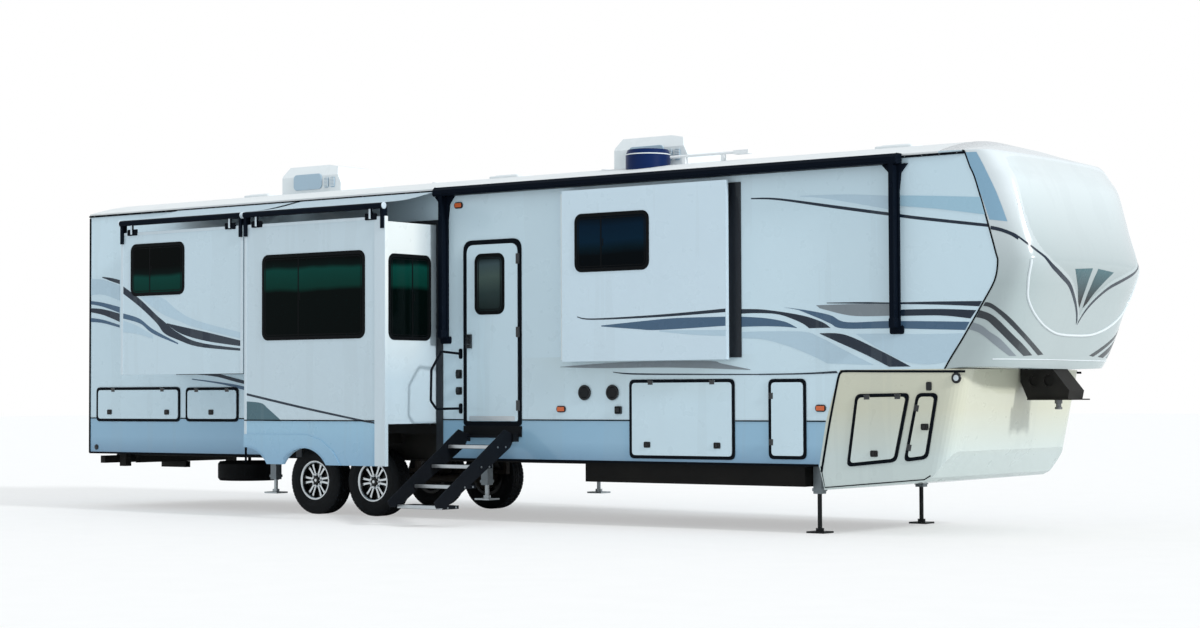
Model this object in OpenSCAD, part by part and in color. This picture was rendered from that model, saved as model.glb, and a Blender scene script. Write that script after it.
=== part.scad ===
/* [Body] */
// Width over the side walls
body_w = 2440; // [2360:10:2540]
// Distance from the kingpin back to the rear wall
rear_l = 12450; // [12300:10:12700]
// Height of the kingpin's lower collar above the ground
pin_h = 1205; // [1180:5:1225]
// Thickness of the side and rear walls
wall_t = 50; // [40:2:60]
// Height of the skirt's lower edge
skirt_z = 650; // [600:10:680]
// Height of the line where the skirt meets the wall
belt_z = 1085; // [1080:5:1120]
// Height of the top of the side walls
eave_z = 3580; // [3560:5:3620]
// Depth of the roof's edge above the side walls
roof_edge = 20; // [10:5:40]
// Rise of the roof from its edge to its crown
crown_h = 180; // [120:10:220]
// Thickness of the roof
roof_t = 60; // [50:5:80]

/* [Floor and frame] */
// Height of the underside of the main floor
floor_z = 930; // [900:5:940]
// Thickness of the main floor
floor_t = 100; // [80:5:100]
// Height of the underside of the raised front floor
deck_z = 1575; // [1560:5:1590]
// Thickness of the raised front floor
deck_t = 65; // [50:5:80]
// Height of the drop frame's underside
belly_z = 450; // [420:10:480]
// Height of the frame rails
rail_h = 310; // [250:10:320]
// Width of the frame rails' flanges
rail_w = 90; // [80:5:110]
// Distance from the middle to each rail's centre
rail_y = 780; // [700:10:790]

/* [Wheels] */
// Radius of a tyre
tyre_r = 386; // [370:2:400]
// Width of a tyre
tyre_w = 234; // [210:2:240]
// Radius of the seat of the tyre on its wheel
rim_r = 203; // [190:1:215]
// Distance between the two axles
axle_gap = 894; // [860:2:920]
// Distance from the kingpin back to the middle between the axles
axle_mid = 8265; // [8200:5:8300]
// Distance from the middle to each wheel's centre plane
track_y = 1000; // [985:5:1010]
// Radius of the wheel arches
arch_r = 395; // [385:5:410]
// Radius of an axle's spindle
spindle_r = 22; // [18:1:26]
// Radial clearance between a spindle and its hub
hub_gap = 0.05; // [0.03:0.01:0.08]

/* [Slide-out rooms] */
// Thickness of the slide-out rooms' sides
room_t = 40; // [30:2:50]
// Thickness of the slide-out rooms' outer faces
face_t = 45; // [40:1:45]
// Clearance around a slide-out room in its opening
room_gap = 10; // [8:1:14]
// Reach of the large rooms beyond the side wall
room_out = 865; // [820:5:880]
// Reach of the bedroom's room beyond the side wall
bed_out = 120; // [115:1:140]
// Thickness of the frame around each room's opening
flange_t = 12; // [8:1:14]
// Radius of the topper rollers over the rooms
roller_r = 32; // [25:1:35]

/* [Door and hatches] */
// Width of the frame around the entry door
door_ring = 45; // [35:1:50]
// Thickness of the entry door
door_t = 40; // [30:1:45]
// Width of the frame around each hatch
hatch_ring = 28; // [22:1:32]
// Thickness of a hatch
hatch_t = 28; // [20:1:34]
// Gap between a door or hatch and its frame
leaf_gap = 6; // [5:0.5:8]
// How far the frames stand out from the wall
frame_proud = 10; // [6:1:12]
// Radius of a hatch's hinge knuckles
knuckle_r = 6; // [5:0.5:8]

/* [Steps and jacks] */
// Width of the entry steps between their side plates
step_w = 620; // [560:10:640]
// Thickness of a tread
tread_t = 35; // [25:1:45]
// Width of a jack's square outer tube
jack_w = 90; // [80:2:100]
// Height of the lower end of a jack's outer tube
jack_z = 380; // [340:10:420]
// Radius of a jack's ram
ram_r = 22; // [18:1:30]

/* [Awning] */
// Height of the awning's case
case_h = 95; // [80:1:110]
// Depth of the awning's case
case_d = 118; // [100:2:125]

/* [Hidden] */
$fn = 48;
half_w = body_w / 2;
in_y = half_w - wall_t;
floor_top = floor_z + floor_t;
roof_z = eave_z + roof_edge;
inner_x = -rear_l + wall_t;
axle_x = [-axle_mid + axle_gap / 2, -axle_mid - axle_gap / 2];
seat = 0.3;

// place where the main floor ends and the raised floor begins
step_x = -4440;
step_t = 40;
// drop frame's ends
pan_x0 = -4780;
pan_x1 = -2110;
pan_top = 680;
sheet_t = 20;
// place where the roof meets the front cap's top
cap_back = -600;
cap_t = 40;
cap_n = 5;

// front cap's ribs from under the nose to the roof: seam x, seam z, front x, front z
ribs = [[-549, deck_z, -520, deck_z],
    [-535, deck_z + 22, 30, deck_z],
    [-490, 1668, 78, 1680],
    [-339, 1884, 172, 1930],
    [-151, 2174, 270, 2210],
    [-27, 2380, 350, 2400],
    [5, 2544, 412, 2560],
    [-14, 2636, 386, 2720],
    [-93, 2914, 305, 2970],
    [-211, 3306, 210, 3250],
    [-270, 3440, 118, 3420],
    [-321, eave_z - 9, 15, 3550],
    [-345, roof_z - 10, -60, eave_z + 25],
    [-420, roof_z - 4, -280, eave_z + 112],
    [cap_back, roof_z, cap_back, roof_z + crown_h]];
// the ribs that meet the side wall
wall_ribs = 12;

// drop compartment's outline in side view
nose_low = 526;
compartment = [[-1918, 650], [-1861, 428], [-769, nose_low], [-695, 564], [-495, 807], [-330, deck_z],
    [-1679, deck_z], [-1839, belt_z]];
compartment_t = 30;
nose_corner = 160;

function rect(x0, z0, x1, z1) = [[x0, z0], [x1, z0], [x1, z1], [x0, z1]];

// corners of an outline rounded off over the distance r
function soft(p, r, n = 5) = [for (i = [0 : len(p) - 1])
    let (c = p[i], a = p[(i + len(p) - 1) % len(p)], b = p[(i + 1) % len(p)], d = is_list(r) ? r[i] : r,
        s = c + (a - c) * d / norm(a - c), e = c + (b - c) * d / norm(b - c))
    for (k = [0 : n]) let (t = k / n) (1 - t) * (1 - t) * s + 2 * t * (1 - t) * c + t * t * e];

// outline moved inwards by t, for corners listed anticlockwise
function inset(p, t) = [for (i = [0 : len(p) - 1])
    let (c = p[i], a = p[(i + len(p) - 1) % len(p)], b = p[(i + 1) % len(p)],
        u = (c - a) / norm(c - a), v = (b - c) / norm(b - c), m = [-u[1], u[0]], n = [-v[1], v[0]])
    c + t * (m + n) / (1 + m * n)];

function roof_at(y) = roof_z + crown_h * (1 - (y / half_w) * (y / half_w));

// hatches: name, side (-1 right, 1 left), outer corners of the frame in side view, hinge edge
pass_box = rect(-4170, 700, -2885, 1500);
nose_box = [[-1609, 652], [-1068, 707], [-920, 1353], [-1504, 1345]];
hatches = [["right_rear_hatch", -1, rect(-rear_l + 140, 1045, -rear_l + 1630, 1460), 2],
    ["right_utility_hatch", -1, rect(-rear_l + 1730, 1048, -rear_l + 2620, 1452), 2],
    ["right_pass_hatch", -1, pass_box, 2],
    ["right_narrow_hatch", -1, rect(-2487, 715, -2058, 1495), 3],
    ["right_nose_hatch", -1, nose_box, 2],
    ["right_battery_hatch", -1, [[-990, 708], [-736, 740], [-620, 1352], [-846, 1352]], 3],
    ["left_pass_hatch", 1, pass_box, 2],
    ["left_nose_hatch", 1, nose_box, 2]];
hatch_corner = 60;
door_box = rect(-6385, 1020, -5583, 3010);
door_corner = [45, 45, 120, 120];
door_knuckle = 9;

// slide-out rooms: side, box corners in side view, inner end's distance from the middle, outer face's
// distance from the middle, laps of the face past the box (rear, front, below, above), lap of the
// opening's frame (beside, above), outline of the face's window
face_out = half_w + room_out;
bed_face = half_w + bed_out;
arched_low = 600;
// the arches sit behind the axles by this much
arch_back = 110;
// flare around the arches: distance ahead of the front arch's middle, height
flare_edge = [[549, arched_low], [427, 756], [257, 868], [48, 925]];
flare_t = 10;
flare_line = concat([for (p = flare_edge) [axle_x[0] - arch_back + p[0], p[1]]],
    [for (i = [len(flare_edge) - 1 : -1 : 0]) [axle_x[1] - arch_back - flare_edge[i][0], flare_edge[i][1]]]);
mid_box = rect(-8790, 1045, -6780, 3200);
rear_box = rect(-10830, 1660, -8935, 3190);
bed_box = rect(-4900, 1740, -2950, 3410);
left_box = rect(-10200, 1045, -5900, 3200);
rooms = [["mid", -1, mid_box, 1100, face_out, [60, 40, 1045 - arched_low, 50], [90, 45]],
    ["rear", -1, rear_box, 1100, face_out, [60, 65, 60, 60], [45, 45]],
    ["bed", -1, bed_box, 620, bed_face, [50, 50, 50, 50], [140, 20]],
    ["left", 1, left_box, 1100, face_out, [60, 60, 1045 - arched_low, 50], [45, 45]]];
face_windows = [[rect(-8560, 1970, -7040, 2890)], [rect(-10710, 2520, -9830, 3100)],
    [rect(-4770, 2620, -3845, 3200)],
    [rect(-9900, 1970, -8700, 2890), rect(-8300, 1970, -7300, 2890), rect(-6900, 2200, -6200, 2890)]];
window_corner = 75;
side_window = [1320, 1950, 1980, 2850];
door_window = rect(-6210, 2220, -5820, 2850);
// windows in the fixed walls: side, outline
wall_windows = [[1, rect(-4100, 2500, -3000, 3060)], [1, rect(-rear_l + 550, 2450, -rear_l + 1550, 3060)]];
rear_window = rect(-700, 2150, 700, 2900);
glass_t = 24;
glass_proud = 5;

module block(x0, x1, y0, y1, z0, z1) {
    translate([x0, y0, z0]) cube([x1 - x0, y1 - y0, z1 - z0]);
}
// outline in side view, given thickness between two distances from the middle on side s
module side_plate(s, p, a, b) {
    translate([0, s > 0 ? b : -a, 0]) rotate([90, 0, 0]) linear_extrude(b - a) polygon(p);
}
module side_block(s, x0, x1, a, b, z0, z1) {
    block(x0, x1, s > 0 ? a : -b, s > 0 ? b : -a, z0, z1);
}
// outline in end view (y, z), drawn out from x0 to x1
module along_x(p, x0, x1) {
    translate([x0, 0, 0]) rotate([90, 0, 90]) linear_extrude(x1 - x0) polygon(p);
}
module along_z(p, z0, z1) {
    translate([0, 0, z0]) linear_extrude(z1 - z0) polygon(p);
}
module both_sides() {
    children();
    mirror([0, 1, 0]) children();
}
module bar(a, b, r) {
    d = b - a;
    translate(a) rotate([0, acos(d[2] / norm(d)), atan2(d[1], d[0])]) cylinder(h = norm(d), r = r, $fn = 24);
}

// frame and running gear
rail_web = 10;
module rail_section(y) {
    web = rail_web;
    flange = 14;
    top = floor_z;
    low = floor_z - rail_h;
    h = rail_w / 2;
    along_x([[y - h, low], [y + h, low], [y + h, low + flange], [y + web / 2, low + flange],
        [y + web / 2, top - flange], [y + h, top - flange], [y + h, top], [y - h, top], [y - h, top - flange],
        [y - web / 2, top - flange], [y - web / 2, low + flange], [y - h, low + flange]], inner_x, pan_x0);
}
beams = 9;
beam_x = [for (k = [0 : beams - 1]) inner_x + 60 + k * (pan_x0 - inner_x - 160) / (beams - 1)];
beam_w = 50;
beam_z = floor_z - 120;
module cross_beams() {
    h = rail_w / 2;
    for (x = beam_x) {
        block(x, x + beam_w, h - rail_y, rail_y - h, beam_z, floor_z);
        both_sides() block(x, x + beam_w, rail_y + h, in_y, beam_z, floor_z);
    }
}
module chassis_frame() {
    low = floor_z - rail_h - seat;
    deep = low - 90;
    both_sides() rail_section(rail_y);
    // bumper beam, cross tie, receiver tube and tail brackets
    block(inner_x, inner_x + 80, -1080, 1080, deep, low);
    block(inner_x + 300, inner_x + 340, -rail_y, rail_y, deep, low);
    difference() {
        block(-rear_l, inner_x + 400, -38, 38, deep - 76, deep);
        block(-rear_l - 1, inner_x + 401, -32, 32, deep - 70, deep - 6);
    }
    both_sides() block(inner_x + 190, inner_x + 300, 850, 940, 490, floor_z);
}
leaf_half = 400;
leaf_h = 34;
// outer face of a brake drum
drum_y = track_y - 95;
drum_t = 60;
module axles() {
    low = floor_z - rail_h;
    tube_r = 42;
    tube_y = drum_y - drum_t;
    for (x = axle_x) {
        translate([x, tube_y, tyre_r]) rotate([90, 0, 0]) cylinder(h = 2 * tube_y, r = tube_r);
        both_sides() {
            translate([x, drum_y, tyre_r]) rotate([90, 0, 0]) cylinder(h = drum_t, r = 150);
            translate([x, track_y + 30, tyre_r]) rotate([90, 0, 0]) cylinder(h = track_y - tube_y, r = spindle_r);
            block(x - leaf_half, x + leaf_half, rail_y - 32, rail_y + 32, tyre_r + tube_r - 6, tyre_r + tube_r + leaf_h);
            block(x - 70, x + 70, rail_y - 40, rail_y + 40, tyre_r - tube_r - 14, tyre_r + tube_r + leaf_h + 12);
            for (e = [-leaf_half, leaf_half - 40])
                block(x + e, x + e + 40, rail_y - 30, rail_y + 30, tyre_r + tube_r, low);
        }
    }
}
jack_x = [pan_x1 + 60, -6250, -9440];
jack_y = half_w - 220;
module jack_tubes() {
    h = jack_w / 2;
    both_sides() for (x = jack_x) {
        top = x > pan_x1 ? deck_z : floor_z;
        block(x - h, x + h, jack_y - h, jack_y + h, jack_z, top);
        block(x - h - 8, x + h + 8, jack_y - h - 8, jack_y + h + 8, jack_z + 25, jack_z + 55);
        if (x < pan_x1) block(x - h, x + h, rail_y + rail_web / 2, jack_y - h, floor_z - 110, floor_z - 20);
    }
}
foot_t = 18;
// height of each foot above the ground: the front legs are down, the others are drawn up
foot_z = [0, 220, 220];
module jack_rams() {
    both_sides() for (k = [0 : len(jack_x) - 1]) {
        x = jack_x[k];
        z = foot_z[k];
        translate([x, jack_y, z + foot_t]) cylinder(h = jack_z - foot_t - z, r = ram_r);
        block(x - 100, x + 100, jack_y - 90, jack_y + 90, z, z + foot_t);
        translate([x, jack_y, z + foot_t]) cylinder(h = 30, r = ram_r + 18);
    }
}
pin_plate_z = pin_h + 76;
pin_box_w = 320;
module pin_box() {
    outline = [[-318, deck_z - 120], [-240, pin_plate_z], [170, pin_plate_z], [190, pin_plate_z + 90],
        [20, deck_z], [-318, deck_z]];
    h = pin_box_w / 2;
    difference() {
        side_plate(1, outline, -h, h);
        for (s = [-1, 1], x = [-170, -20]) translate([x, s * h, deck_z - 110])
            rotate([90, 0, 0]) cylinder(h = 50, r = 55, center = true);
    }
    both_sides() block(-230, 230, h, h + 40, pin_plate_z, pin_plate_z + 12);
}
collar_r = 35.7;
module kingpin() {
    translate([0, 0, pin_h]) rotate_extrude() polygon([[0, -13], [collar_r - 4, -13], [collar_r, -9],
        [collar_r, 9], [25.4, 11], [25.4, 41], [36.5, 43], [36.5, 76], [0, 76]]);
}

// floors
module floors() {
    block(inner_x, step_x, -in_y, in_y, floor_z, floor_top);
    block(step_x - step_t, step_x, -in_y, in_y, pan_top, floor_z);
    block(step_x - step_t, step_x, -in_y, in_y, floor_top, deck_z + deck_t);
    block(step_x, -549, -in_y, in_y, deck_z, deck_z + deck_t);
}
module belly_pan() {
    low = floor_z - rail_h;
    difference() {
        block(pan_x0, pan_x1, -in_y, in_y, belly_z, pan_top);
        block(pan_x0 - 1, pan_x1 - sheet_t, sheet_t - in_y, in_y - sheet_t, belly_z + sheet_t, pan_top - sheet_t);
    }
    block(inner_x + 340, pan_x0, rail_w / 2 - rail_y, rail_y - rail_w / 2, low, low + sheet_t);
}

// body shell
module hatch_holes(s) {
    for (h = hatches) if (h[1] == s) side_plate(s, soft(h[2], hatch_corner), in_y - 40, half_w + 20);
}
module room_holes(s) {
    for (r = rooms) if (r[1] == s) {
        b = r[2];
        below = r[5][2] > 100 ? 500 : room_gap;
        side_block(s, b[0][0] - room_gap, b[1][0] + room_gap, in_y - 1, half_w + 1, b[0][1] - below, b[2][1] + room_gap);
    }
}
wall_line = concat([[-rear_l, belt_z], [-1839, belt_z], [-1679, deck_z]], [for (r = ribs) [r[0], r[1]]],
    [[cap_back, eave_z], [-rear_l, eave_z]]);
module side_wall(s) {
    difference() {
        side_plate(s, wall_line, in_y, half_w);
        hatch_holes(s);
        room_holes(s);
        for (w = wall_windows) if (w[0] == s) side_plate(s, soft(w[1], window_corner), in_y - 1, half_w + 1);
        if (s < 0) side_plate(s, soft(door_box, door_corner), in_y - 1, half_w + 1);
    }
}
module right_wall() {
    side_wall(-1);
}
module left_wall() {
    side_wall(1);
}
module rear_wall() {
    difference() {
        block(-rear_l, inner_x, -in_y, in_y, skirt_z, eave_z);
        along_x(soft(rear_window, window_corner), -rear_l - 1, inner_x + 1);
    }
}
roof_steps = 8;
module roof() {
    rim = [for (k = [-roof_steps : roof_steps]) -k * half_w / roof_steps];
    u = sqrt(1 - (roof_t - roof_edge) / crown_h) * half_w;
    difference() {
        along_x(concat([[-half_w, eave_z], [half_w, eave_z]], [for (y = rim) [y, roof_at(y)]]), -rear_l, cap_back);
        along_x(concat([[-u, eave_z - 5], [u, eave_z - 5]],
            [for (k = [-roof_steps : roof_steps]) let (y = -k * u / roof_steps) [y, roof_at(y) - roof_t]]),
            inner_x, cap_back + 1);
    }
}
// solid of the roof's outer form, for seating what stands on it
module roof_form() {
    along_x(concat([[-half_w, eave_z], [half_w, eave_z]],
        [for (k = [-roof_steps : roof_steps]) let (y = -k * half_w / roof_steps) [y, roof_at(y)]]), -rear_l, cap_back);
}

// front cap, a shell between the ribs and the same ribs moved inwards
cap_steps = 9;
// share of the way across, 0 at the side wall and 1 in the middle
function across(k) = let (f = 90 * k / cap_steps) [pow(cos(f), 2 / cap_n), pow(sin(f), 2 / cap_n)];
function rib_line(sx, sz, fx, fz, w) = concat(
    [for (k = [0 : cap_steps - 1]) let (c = across(k)) [sx + (fx - sx) * c[1], -w * c[0], sz + (fz - sz) * (1 - c[0] * c[0])]],
    [[fx, 0, fz]],
    [for (j = [1 : cap_steps]) let (c = across(cap_steps - j)) [sx + (fx - sx) * c[1], w * c[0], sz + (fz - sz) * (1 - c[0] * c[0])]]);
front_line = [for (r = ribs) [r[2], r[3]]];
// unit direction into the cap at rib i
function into(i) = let (a = front_line[max(i - 1, 0)], b = front_line[min(i + 1, len(ribs) - 1)], d = b - a)
    [-d[1], d[0]] / norm(d);
function inner_seam(i) = i == 0 ? cap_t : i == 1 ? cap_t / 2 : i > wall_ribs - 1 ? -roof_edge / 2 : 0;
module front_cap() {
    n = 2 * cap_steps + 1;
    m = len(ribs);
    outer = [for (r = ribs) each rib_line(r[0], r[1], r[2], r[3], half_w)];
    inner = [for (i = [0 : m - 1]) let (r = ribs[i], p = front_line[i] + cap_t * into(i))
        each rib_line(r[0], r[1] + inner_seam(i), p[0], p[1], half_w - cap_t)];
    skin = [for (i = [0 : m - 2], k = [0 : n - 2]) let (a = i * n + k) each [[a, a + n, a + n + 1], [a, a + n + 1, a + 1]]];
    back = [for (f = skin) [f[2] + m * n, f[1] + m * n, f[0] + m * n]];
    ends = [for (i = [0, m - 1], k = [0 : n - 2]) let (a = i * n + k, b = a + m * n)
        each i == 0 ? [[a, a + 1, b + 1], [a, b + 1, b]] : [[a, b + 1, a + 1], [a, b, b + 1]]];
    sides = [for (k = [0, n - 1], i = [0 : m - 2]) let (a = i * n + k, b = a + m * n)
        each k == 0 ? [[a, b, b + n], [a, b + n, a + n]] : [[a, b + n, b], [a, a + n, b + n]]];
    difference() {
        polyhedron(points = concat(outer, inner), faces = concat(skin, back, ends, sides));
        for (s = [-1, 1]) side_plate(s, wall_line, in_y, half_w + 1);
        roof_form();
    }
}
module arches() {
    for (x = axle_x) translate([x - arch_back, half_w + 1000, tyre_r]) rotate([90, 0, 0]) cylinder(h = body_w + 2000, r = arch_r, $fn = 96);
}
module skirts() {
    difference() {
        union() {
            side_plate(-1, rect(-rear_l, skirt_z, mid_box[0][0] - room_gap, belt_z), in_y, half_w);
            side_plate(-1, [[mid_box[1][0] + room_gap, skirt_z], [-1918, skirt_z], [-1839, belt_z],
                [mid_box[1][0] + room_gap, belt_z]], in_y, half_w);
            side_plate(1, rect(-rear_l, skirt_z, left_box[0][0] - room_gap, belt_z), in_y, half_w);
            side_plate(1, [[left_box[1][0] + room_gap, skirt_z], [-1918, skirt_z], [-1839, belt_z],
                [left_box[1][0] + room_gap, belt_z]], in_y, half_w);
        }
        hatch_holes(-1);
        hatch_holes(1);
        side_plate(-1, soft(door_box, door_corner), in_y - 1, half_w + 1);
        arches();
    }
}
module compartment_form(t) {
    a = compartment[4];
    b = compartment[5];
    lean = atan2(b[0] - a[0], b[1] - a[1]);
    w = half_w - t;
    intersection() {
        side_plate(1, inset(compartment, t), -w, w);
        translate([b[0], 0, b[1]]) rotate([0, lean, 0])
            along_z(soft([[-2500, -w], [-t, -w], [-t, w], [-2500, w]], [1, nose_corner, nose_corner, 1], 7), -1600, 600);
    }
}
module front_compartment() {
    difference() {
        compartment_form(0);
        compartment_form(compartment_t);
        hatch_holes(-1);
        hatch_holes(1);
    }
}
gutter_t = 14;
case_x = [-6720, -1000];
module eave_rails() {
    for (x = [[-rear_l, case_x[0]], [case_x[1], ribs[11][0]]])
        side_block(-1, x[0], x[1], half_w, half_w + gutter_t, eave_z - 22, eave_z);
    side_block(1, -rear_l, ribs[11][0], half_w, half_w + gutter_t, eave_z - 22, eave_z);
}
bar_w = 120;
module slide_flanges() {
    for (r = rooms) {
        b = r[2];
        arched = r[5][2] > 100;
        x0 = b[0][0] - room_gap;
        x1 = b[1][0] + room_gap;
        z0 = arched ? skirt_z : b[0][1] - room_gap;
        z1 = b[2][1] + room_gap;
        lap = r[6];
        difference() {
            side_block(r[1], x0 - lap[0], x1 + lap[0], half_w, half_w + flange_t, arched ? z0 : z0 - lap[1], z1 + lap[1]);
            side_block(r[1], x0, x1, half_w - 1, half_w + flange_t + 1, arched ? z0 - 1 : z0, z1);
        }
        // wear bars that carry the room
        sill = arched ? floor_top : z0;
        for (x = [b[0][0] + 150, b[1][0] - 150 - bar_w])
            side_block(r[1], x, x + bar_w, arched ? r[3] : in_y + 2, arched ? in_y : half_w - 2, sill, b[0][1] - seat);
    }
}
module opening_frames() {
    for (h = hatches) difference() {
        side_plate(h[1], soft(h[2], hatch_corner), in_y, half_w + frame_proud);
        side_plate(h[1], soft(inset(h[2], hatch_ring), hatch_corner - hatch_ring / 2), in_y - 1, half_w + frame_proud + 1);
    }
    difference() {
        side_plate(-1, soft(door_box, door_corner), in_y, half_w + frame_proud);
        side_plate(-1, soft(inset(door_box, door_ring), [for (c = door_corner) c - door_ring / 2]), in_y - 1, half_w + frame_proud + 1);
    }
}

// door or hatch hung on the edge of its frame's outline
module leaf(s, p, edge, corner, ring_w, t, r, len, at) {
    line = inset(p, ring_w / 2);
    a = line[edge];
    b = line[(edge + 1) % 4];
    turn = atan2(b[0] - a[0], b[1] - a[1]);
    out = half_w + frame_proud;
    side_plate(s, soft(inset(p, ring_w + leaf_gap), corner), out + 2 - t, out + 2);
    for (f = at) let (c = a + f * (b - a)) translate([c[0], s * (out + seat + r), c[1]]) rotate([0, turn, 0]) {
        cylinder(h = len, r = r, center = true);
        translate([-ring_w / 2 - leaf_gap - 20, s > 0 ? -r : r - 4, -len / 2]) cube([ring_w / 2 + leaf_gap + 20, 4, len]);
    }
}
module hatch(k) {
    h = hatches[k];
    leaf(h[1], h[2], h[3], hatch_corner - hatch_ring / 2 - 5, hatch_ring, hatch_t, knuckle_r, 60, [0.2, 0.8]);
}
module entry_door() {
    difference() {
        leaf(-1, door_box, 1, [for (c = door_corner) c - door_ring / 2 - 5], door_ring, door_t, door_knuckle, 110, [0.1, 0.5, 0.9]);
        side_plate(-1, soft(door_window, window_corner), half_w - 100, half_w + 100);
    }
    // handle plate
    side_block(-1, -6330, -6260, half_w + frame_proud + 2, half_w + frame_proud + 26, 1850, 2000);
}
module entry_door_glass() {
    side_plate(-1, soft(door_window, window_corner), half_w + frame_proud + 2 - door_t / 2, half_w + frame_proud + 4);
}

// slide-out rooms
module room(k) {
    r = rooms[k];
    s = r[1];
    b = r[2];
    lap = r[5];
    back = r[4] - face_t;
    difference() {
        union() {
            difference() {
                side_block(s, b[0][0], b[1][0], r[3], back, b[0][1], b[2][1]);
                side_block(s, b[0][0] + room_t, b[1][0] - room_t, r[3] - 1, back + 1, b[0][1] + room_t, b[2][1] - room_t);
            }
            side_block(s, b[0][0] - lap[0], b[1][0] + lap[1], back, r[4], b[0][1] - lap[2], b[2][1] + lap[3]);
            if (lap[2] > 100) side_plate(s, [for (p = flare_line) [max(p[0], b[0][0] - lap[0]), p[1]]], r[4], r[4] + flare_t);
        }
        for (w = face_windows[k]) side_plate(s, soft(w, window_corner), back - 1, r[4] + 1);
        if (lap[2] > 100) arches();
        if (k == 0) along_x(soft([[-side_window[2], side_window[1]], [-side_window[0], side_window[1]],
            [-side_window[0], side_window[3]], [-side_window[2], side_window[3]]], window_corner), b[1][0] - room_t - 1, b[1][0] + 1);
    }
}
module room_glass(k) {
    r = rooms[k];
    for (w = face_windows[k]) side_plate(r[1], soft(w, window_corner), r[4] - glass_t, r[4] + glass_proud);
    if (k == 0) along_x(soft([[-side_window[2], side_window[1]], [-side_window[0], side_window[1]],
        [-side_window[0], side_window[3]], [-side_window[2], side_window[3]]], window_corner),
        r[2][1][0] - glass_t, r[2][1][0] + glass_proud / 2);
}
topper_z = 3360;
module room_topper(k) {
    r = rooms[k];
    s = r[1];
    b = r[2];
    x0 = b[0][0] - r[5][0] + 10;
    x1 = b[1][0] + r[5][1] - 10;
    top = b[2][1] + r[5][3];
    y = r[4] + 15;
    translate([x0, s * y, topper_z]) rotate([0, 90, 0]) cylinder(h = x1 - x0, r = roller_r);
    for (x = [x0, x1 - 40]) {
        side_block(s, x, x + 40, r[4] - face_t, y + 10, top, topper_z);
        side_block(s, x, x + 40, r[4], y + 10, top - 130, top);
    }
}

// fabric from the eave's rail over each topper's roller
fabric_t = 4;
module topper_fabrics() {
    y0 = half_w + gutter_t;
    z0 = eave_z - 16;
    z1 = topper_z + roller_r + seat;
    for (k = [0, 1, 3]) {
        r = rooms[k];
        y1 = r[4] + 15;
        x0 = r[2][0][0] - r[5][0] + 40;
        x1 = r[2][1][0] + r[5][1] - 40;
        mirror([0, r[1] > 0 ? 0 : 1, 0]) along_x([[y0, z0], [y1, z1], [y1, z1 + fabric_t], [y0, z0 + fabric_t]], x0, x1);
    }
}

// wheels
module tyre(s, x) {
    h = tyre_w / 2;
    half = [[rim_r, h - 22], [rim_r + 40, h - 5], [tyre_r - 70, h], [tyre_r - 25, h - 5], [tyre_r, h - 32]];
    groove = [[tyre_r, 48], [tyre_r - 9, 46], [tyre_r - 9, 38], [tyre_r, 36], [tyre_r, 6], [tyre_r - 9, 5]];
    one = concat(half, groove);
    translate([x, s * track_y, tyre_r]) rotate([90, 0, 0])
        rotate_extrude($fn = 96) polygon(concat(one, [for (i = [len(one) - 1 : -1 : 0]) [one[i][0], -one[i][1]]]));
}
spokes = 6;
module wheel(s, x) {
    h = tyre_w / 2;
    translate([x, s * track_y, tyre_r]) rotate([s > 0 ? -90 : 90, 0, 0]) {
        rotate_extrude($fn = 96) polygon([[rim_r - 14, -h + 7], [rim_r + 19, -h + 7], [rim_r + 19, -h + 13], [rim_r, -h + 13],
            [rim_r, h - 13], [rim_r + 19, h - 13], [rim_r + 19, h - 7], [rim_r - 14, h - 7]]);
        difference() {
            translate([0, 0, 40]) cylinder(h = 28, r = rim_r - 13);
            translate([0, 0, -61]) cylinder(h = 96, r = spindle_r + hub_gap);
            for (k = [0 : spokes - 1]) rotate([0, 0, k * 360 / spokes])
                translate([0, 0, 30]) linear_extrude(50) polygon([[92, -14], [176, -62], [182, -44], [182, 44], [176, 62], [92, 14]]);
        }
        difference() {
            translate([0, 0, -60]) cylinder(h = 108, r = 72);
            translate([0, 0, -61]) cylinder(h = 96, r = spindle_r + hub_gap);
        }
        translate([0, 0, 60]) cylinder(h = 36, r = 44);
        for (k = [0 : 7]) rotate([0, 0, 22.5 + k * 45]) translate([82, 0, 66]) cylinder(h = 18, r = 11, $fn = 6);
    }
}
spare_x = -rear_l + 1550;
module spare_wheel() {
    low = floor_z - rail_h;
    h = tyre_w / 2;
    z = 430;
    translate([spare_x, 0, z]) {
        rotate_extrude($fn = 96) polygon([[rim_r - 14, -h + 10], [tyre_r - 25, -h], [tyre_r, -h + 30], [tyre_r, h - 30],
            [tyre_r - 25, h], [rim_r - 14, h - 10]]);
        translate([0, 0, -20]) cylinder(h = 24, r = rim_r - 13);
        cylinder(h = low - z, r = 20);
    }
}

// entry steps, held a hand's width above the ground
pivot = [-half_w - 62, 905];
pivot_r = 11;
pivot_gap = 0.1;
step_mid = -5975;
step_edges = [for (k = [0 : 3]) [-half_w - 380 - 267 * k, 820 - 200 * k]];
plate_t = 12;
bracket_t = 26;
tread_d = 250;
module entry_steps() {
    h = step_w / 2;
    // outline of a side plate: distance out from the wall, height
    line = [[30, pivot[1] + 20], [205, 985], [1325, 262], [1285, 200], [1155, 200], [110, 795]];
    plate = [for (p = line) [-half_w - p[0], p[1]]];
    for (x = [step_mid - h - plate_t, step_mid + h]) along_x(plate, x, x + plate_t);
    for (e = step_edges) block(step_mid - h, step_mid + h, e[0], e[0] + tread_d, e[1] - tread_t, e[1]);
    over = plate_t + bracket_t;
    translate([step_mid - h - over, pivot[0], pivot[1]]) rotate([0, 90, 0]) cylinder(h = step_w + 2 * over, r = pivot_r);
}
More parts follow.
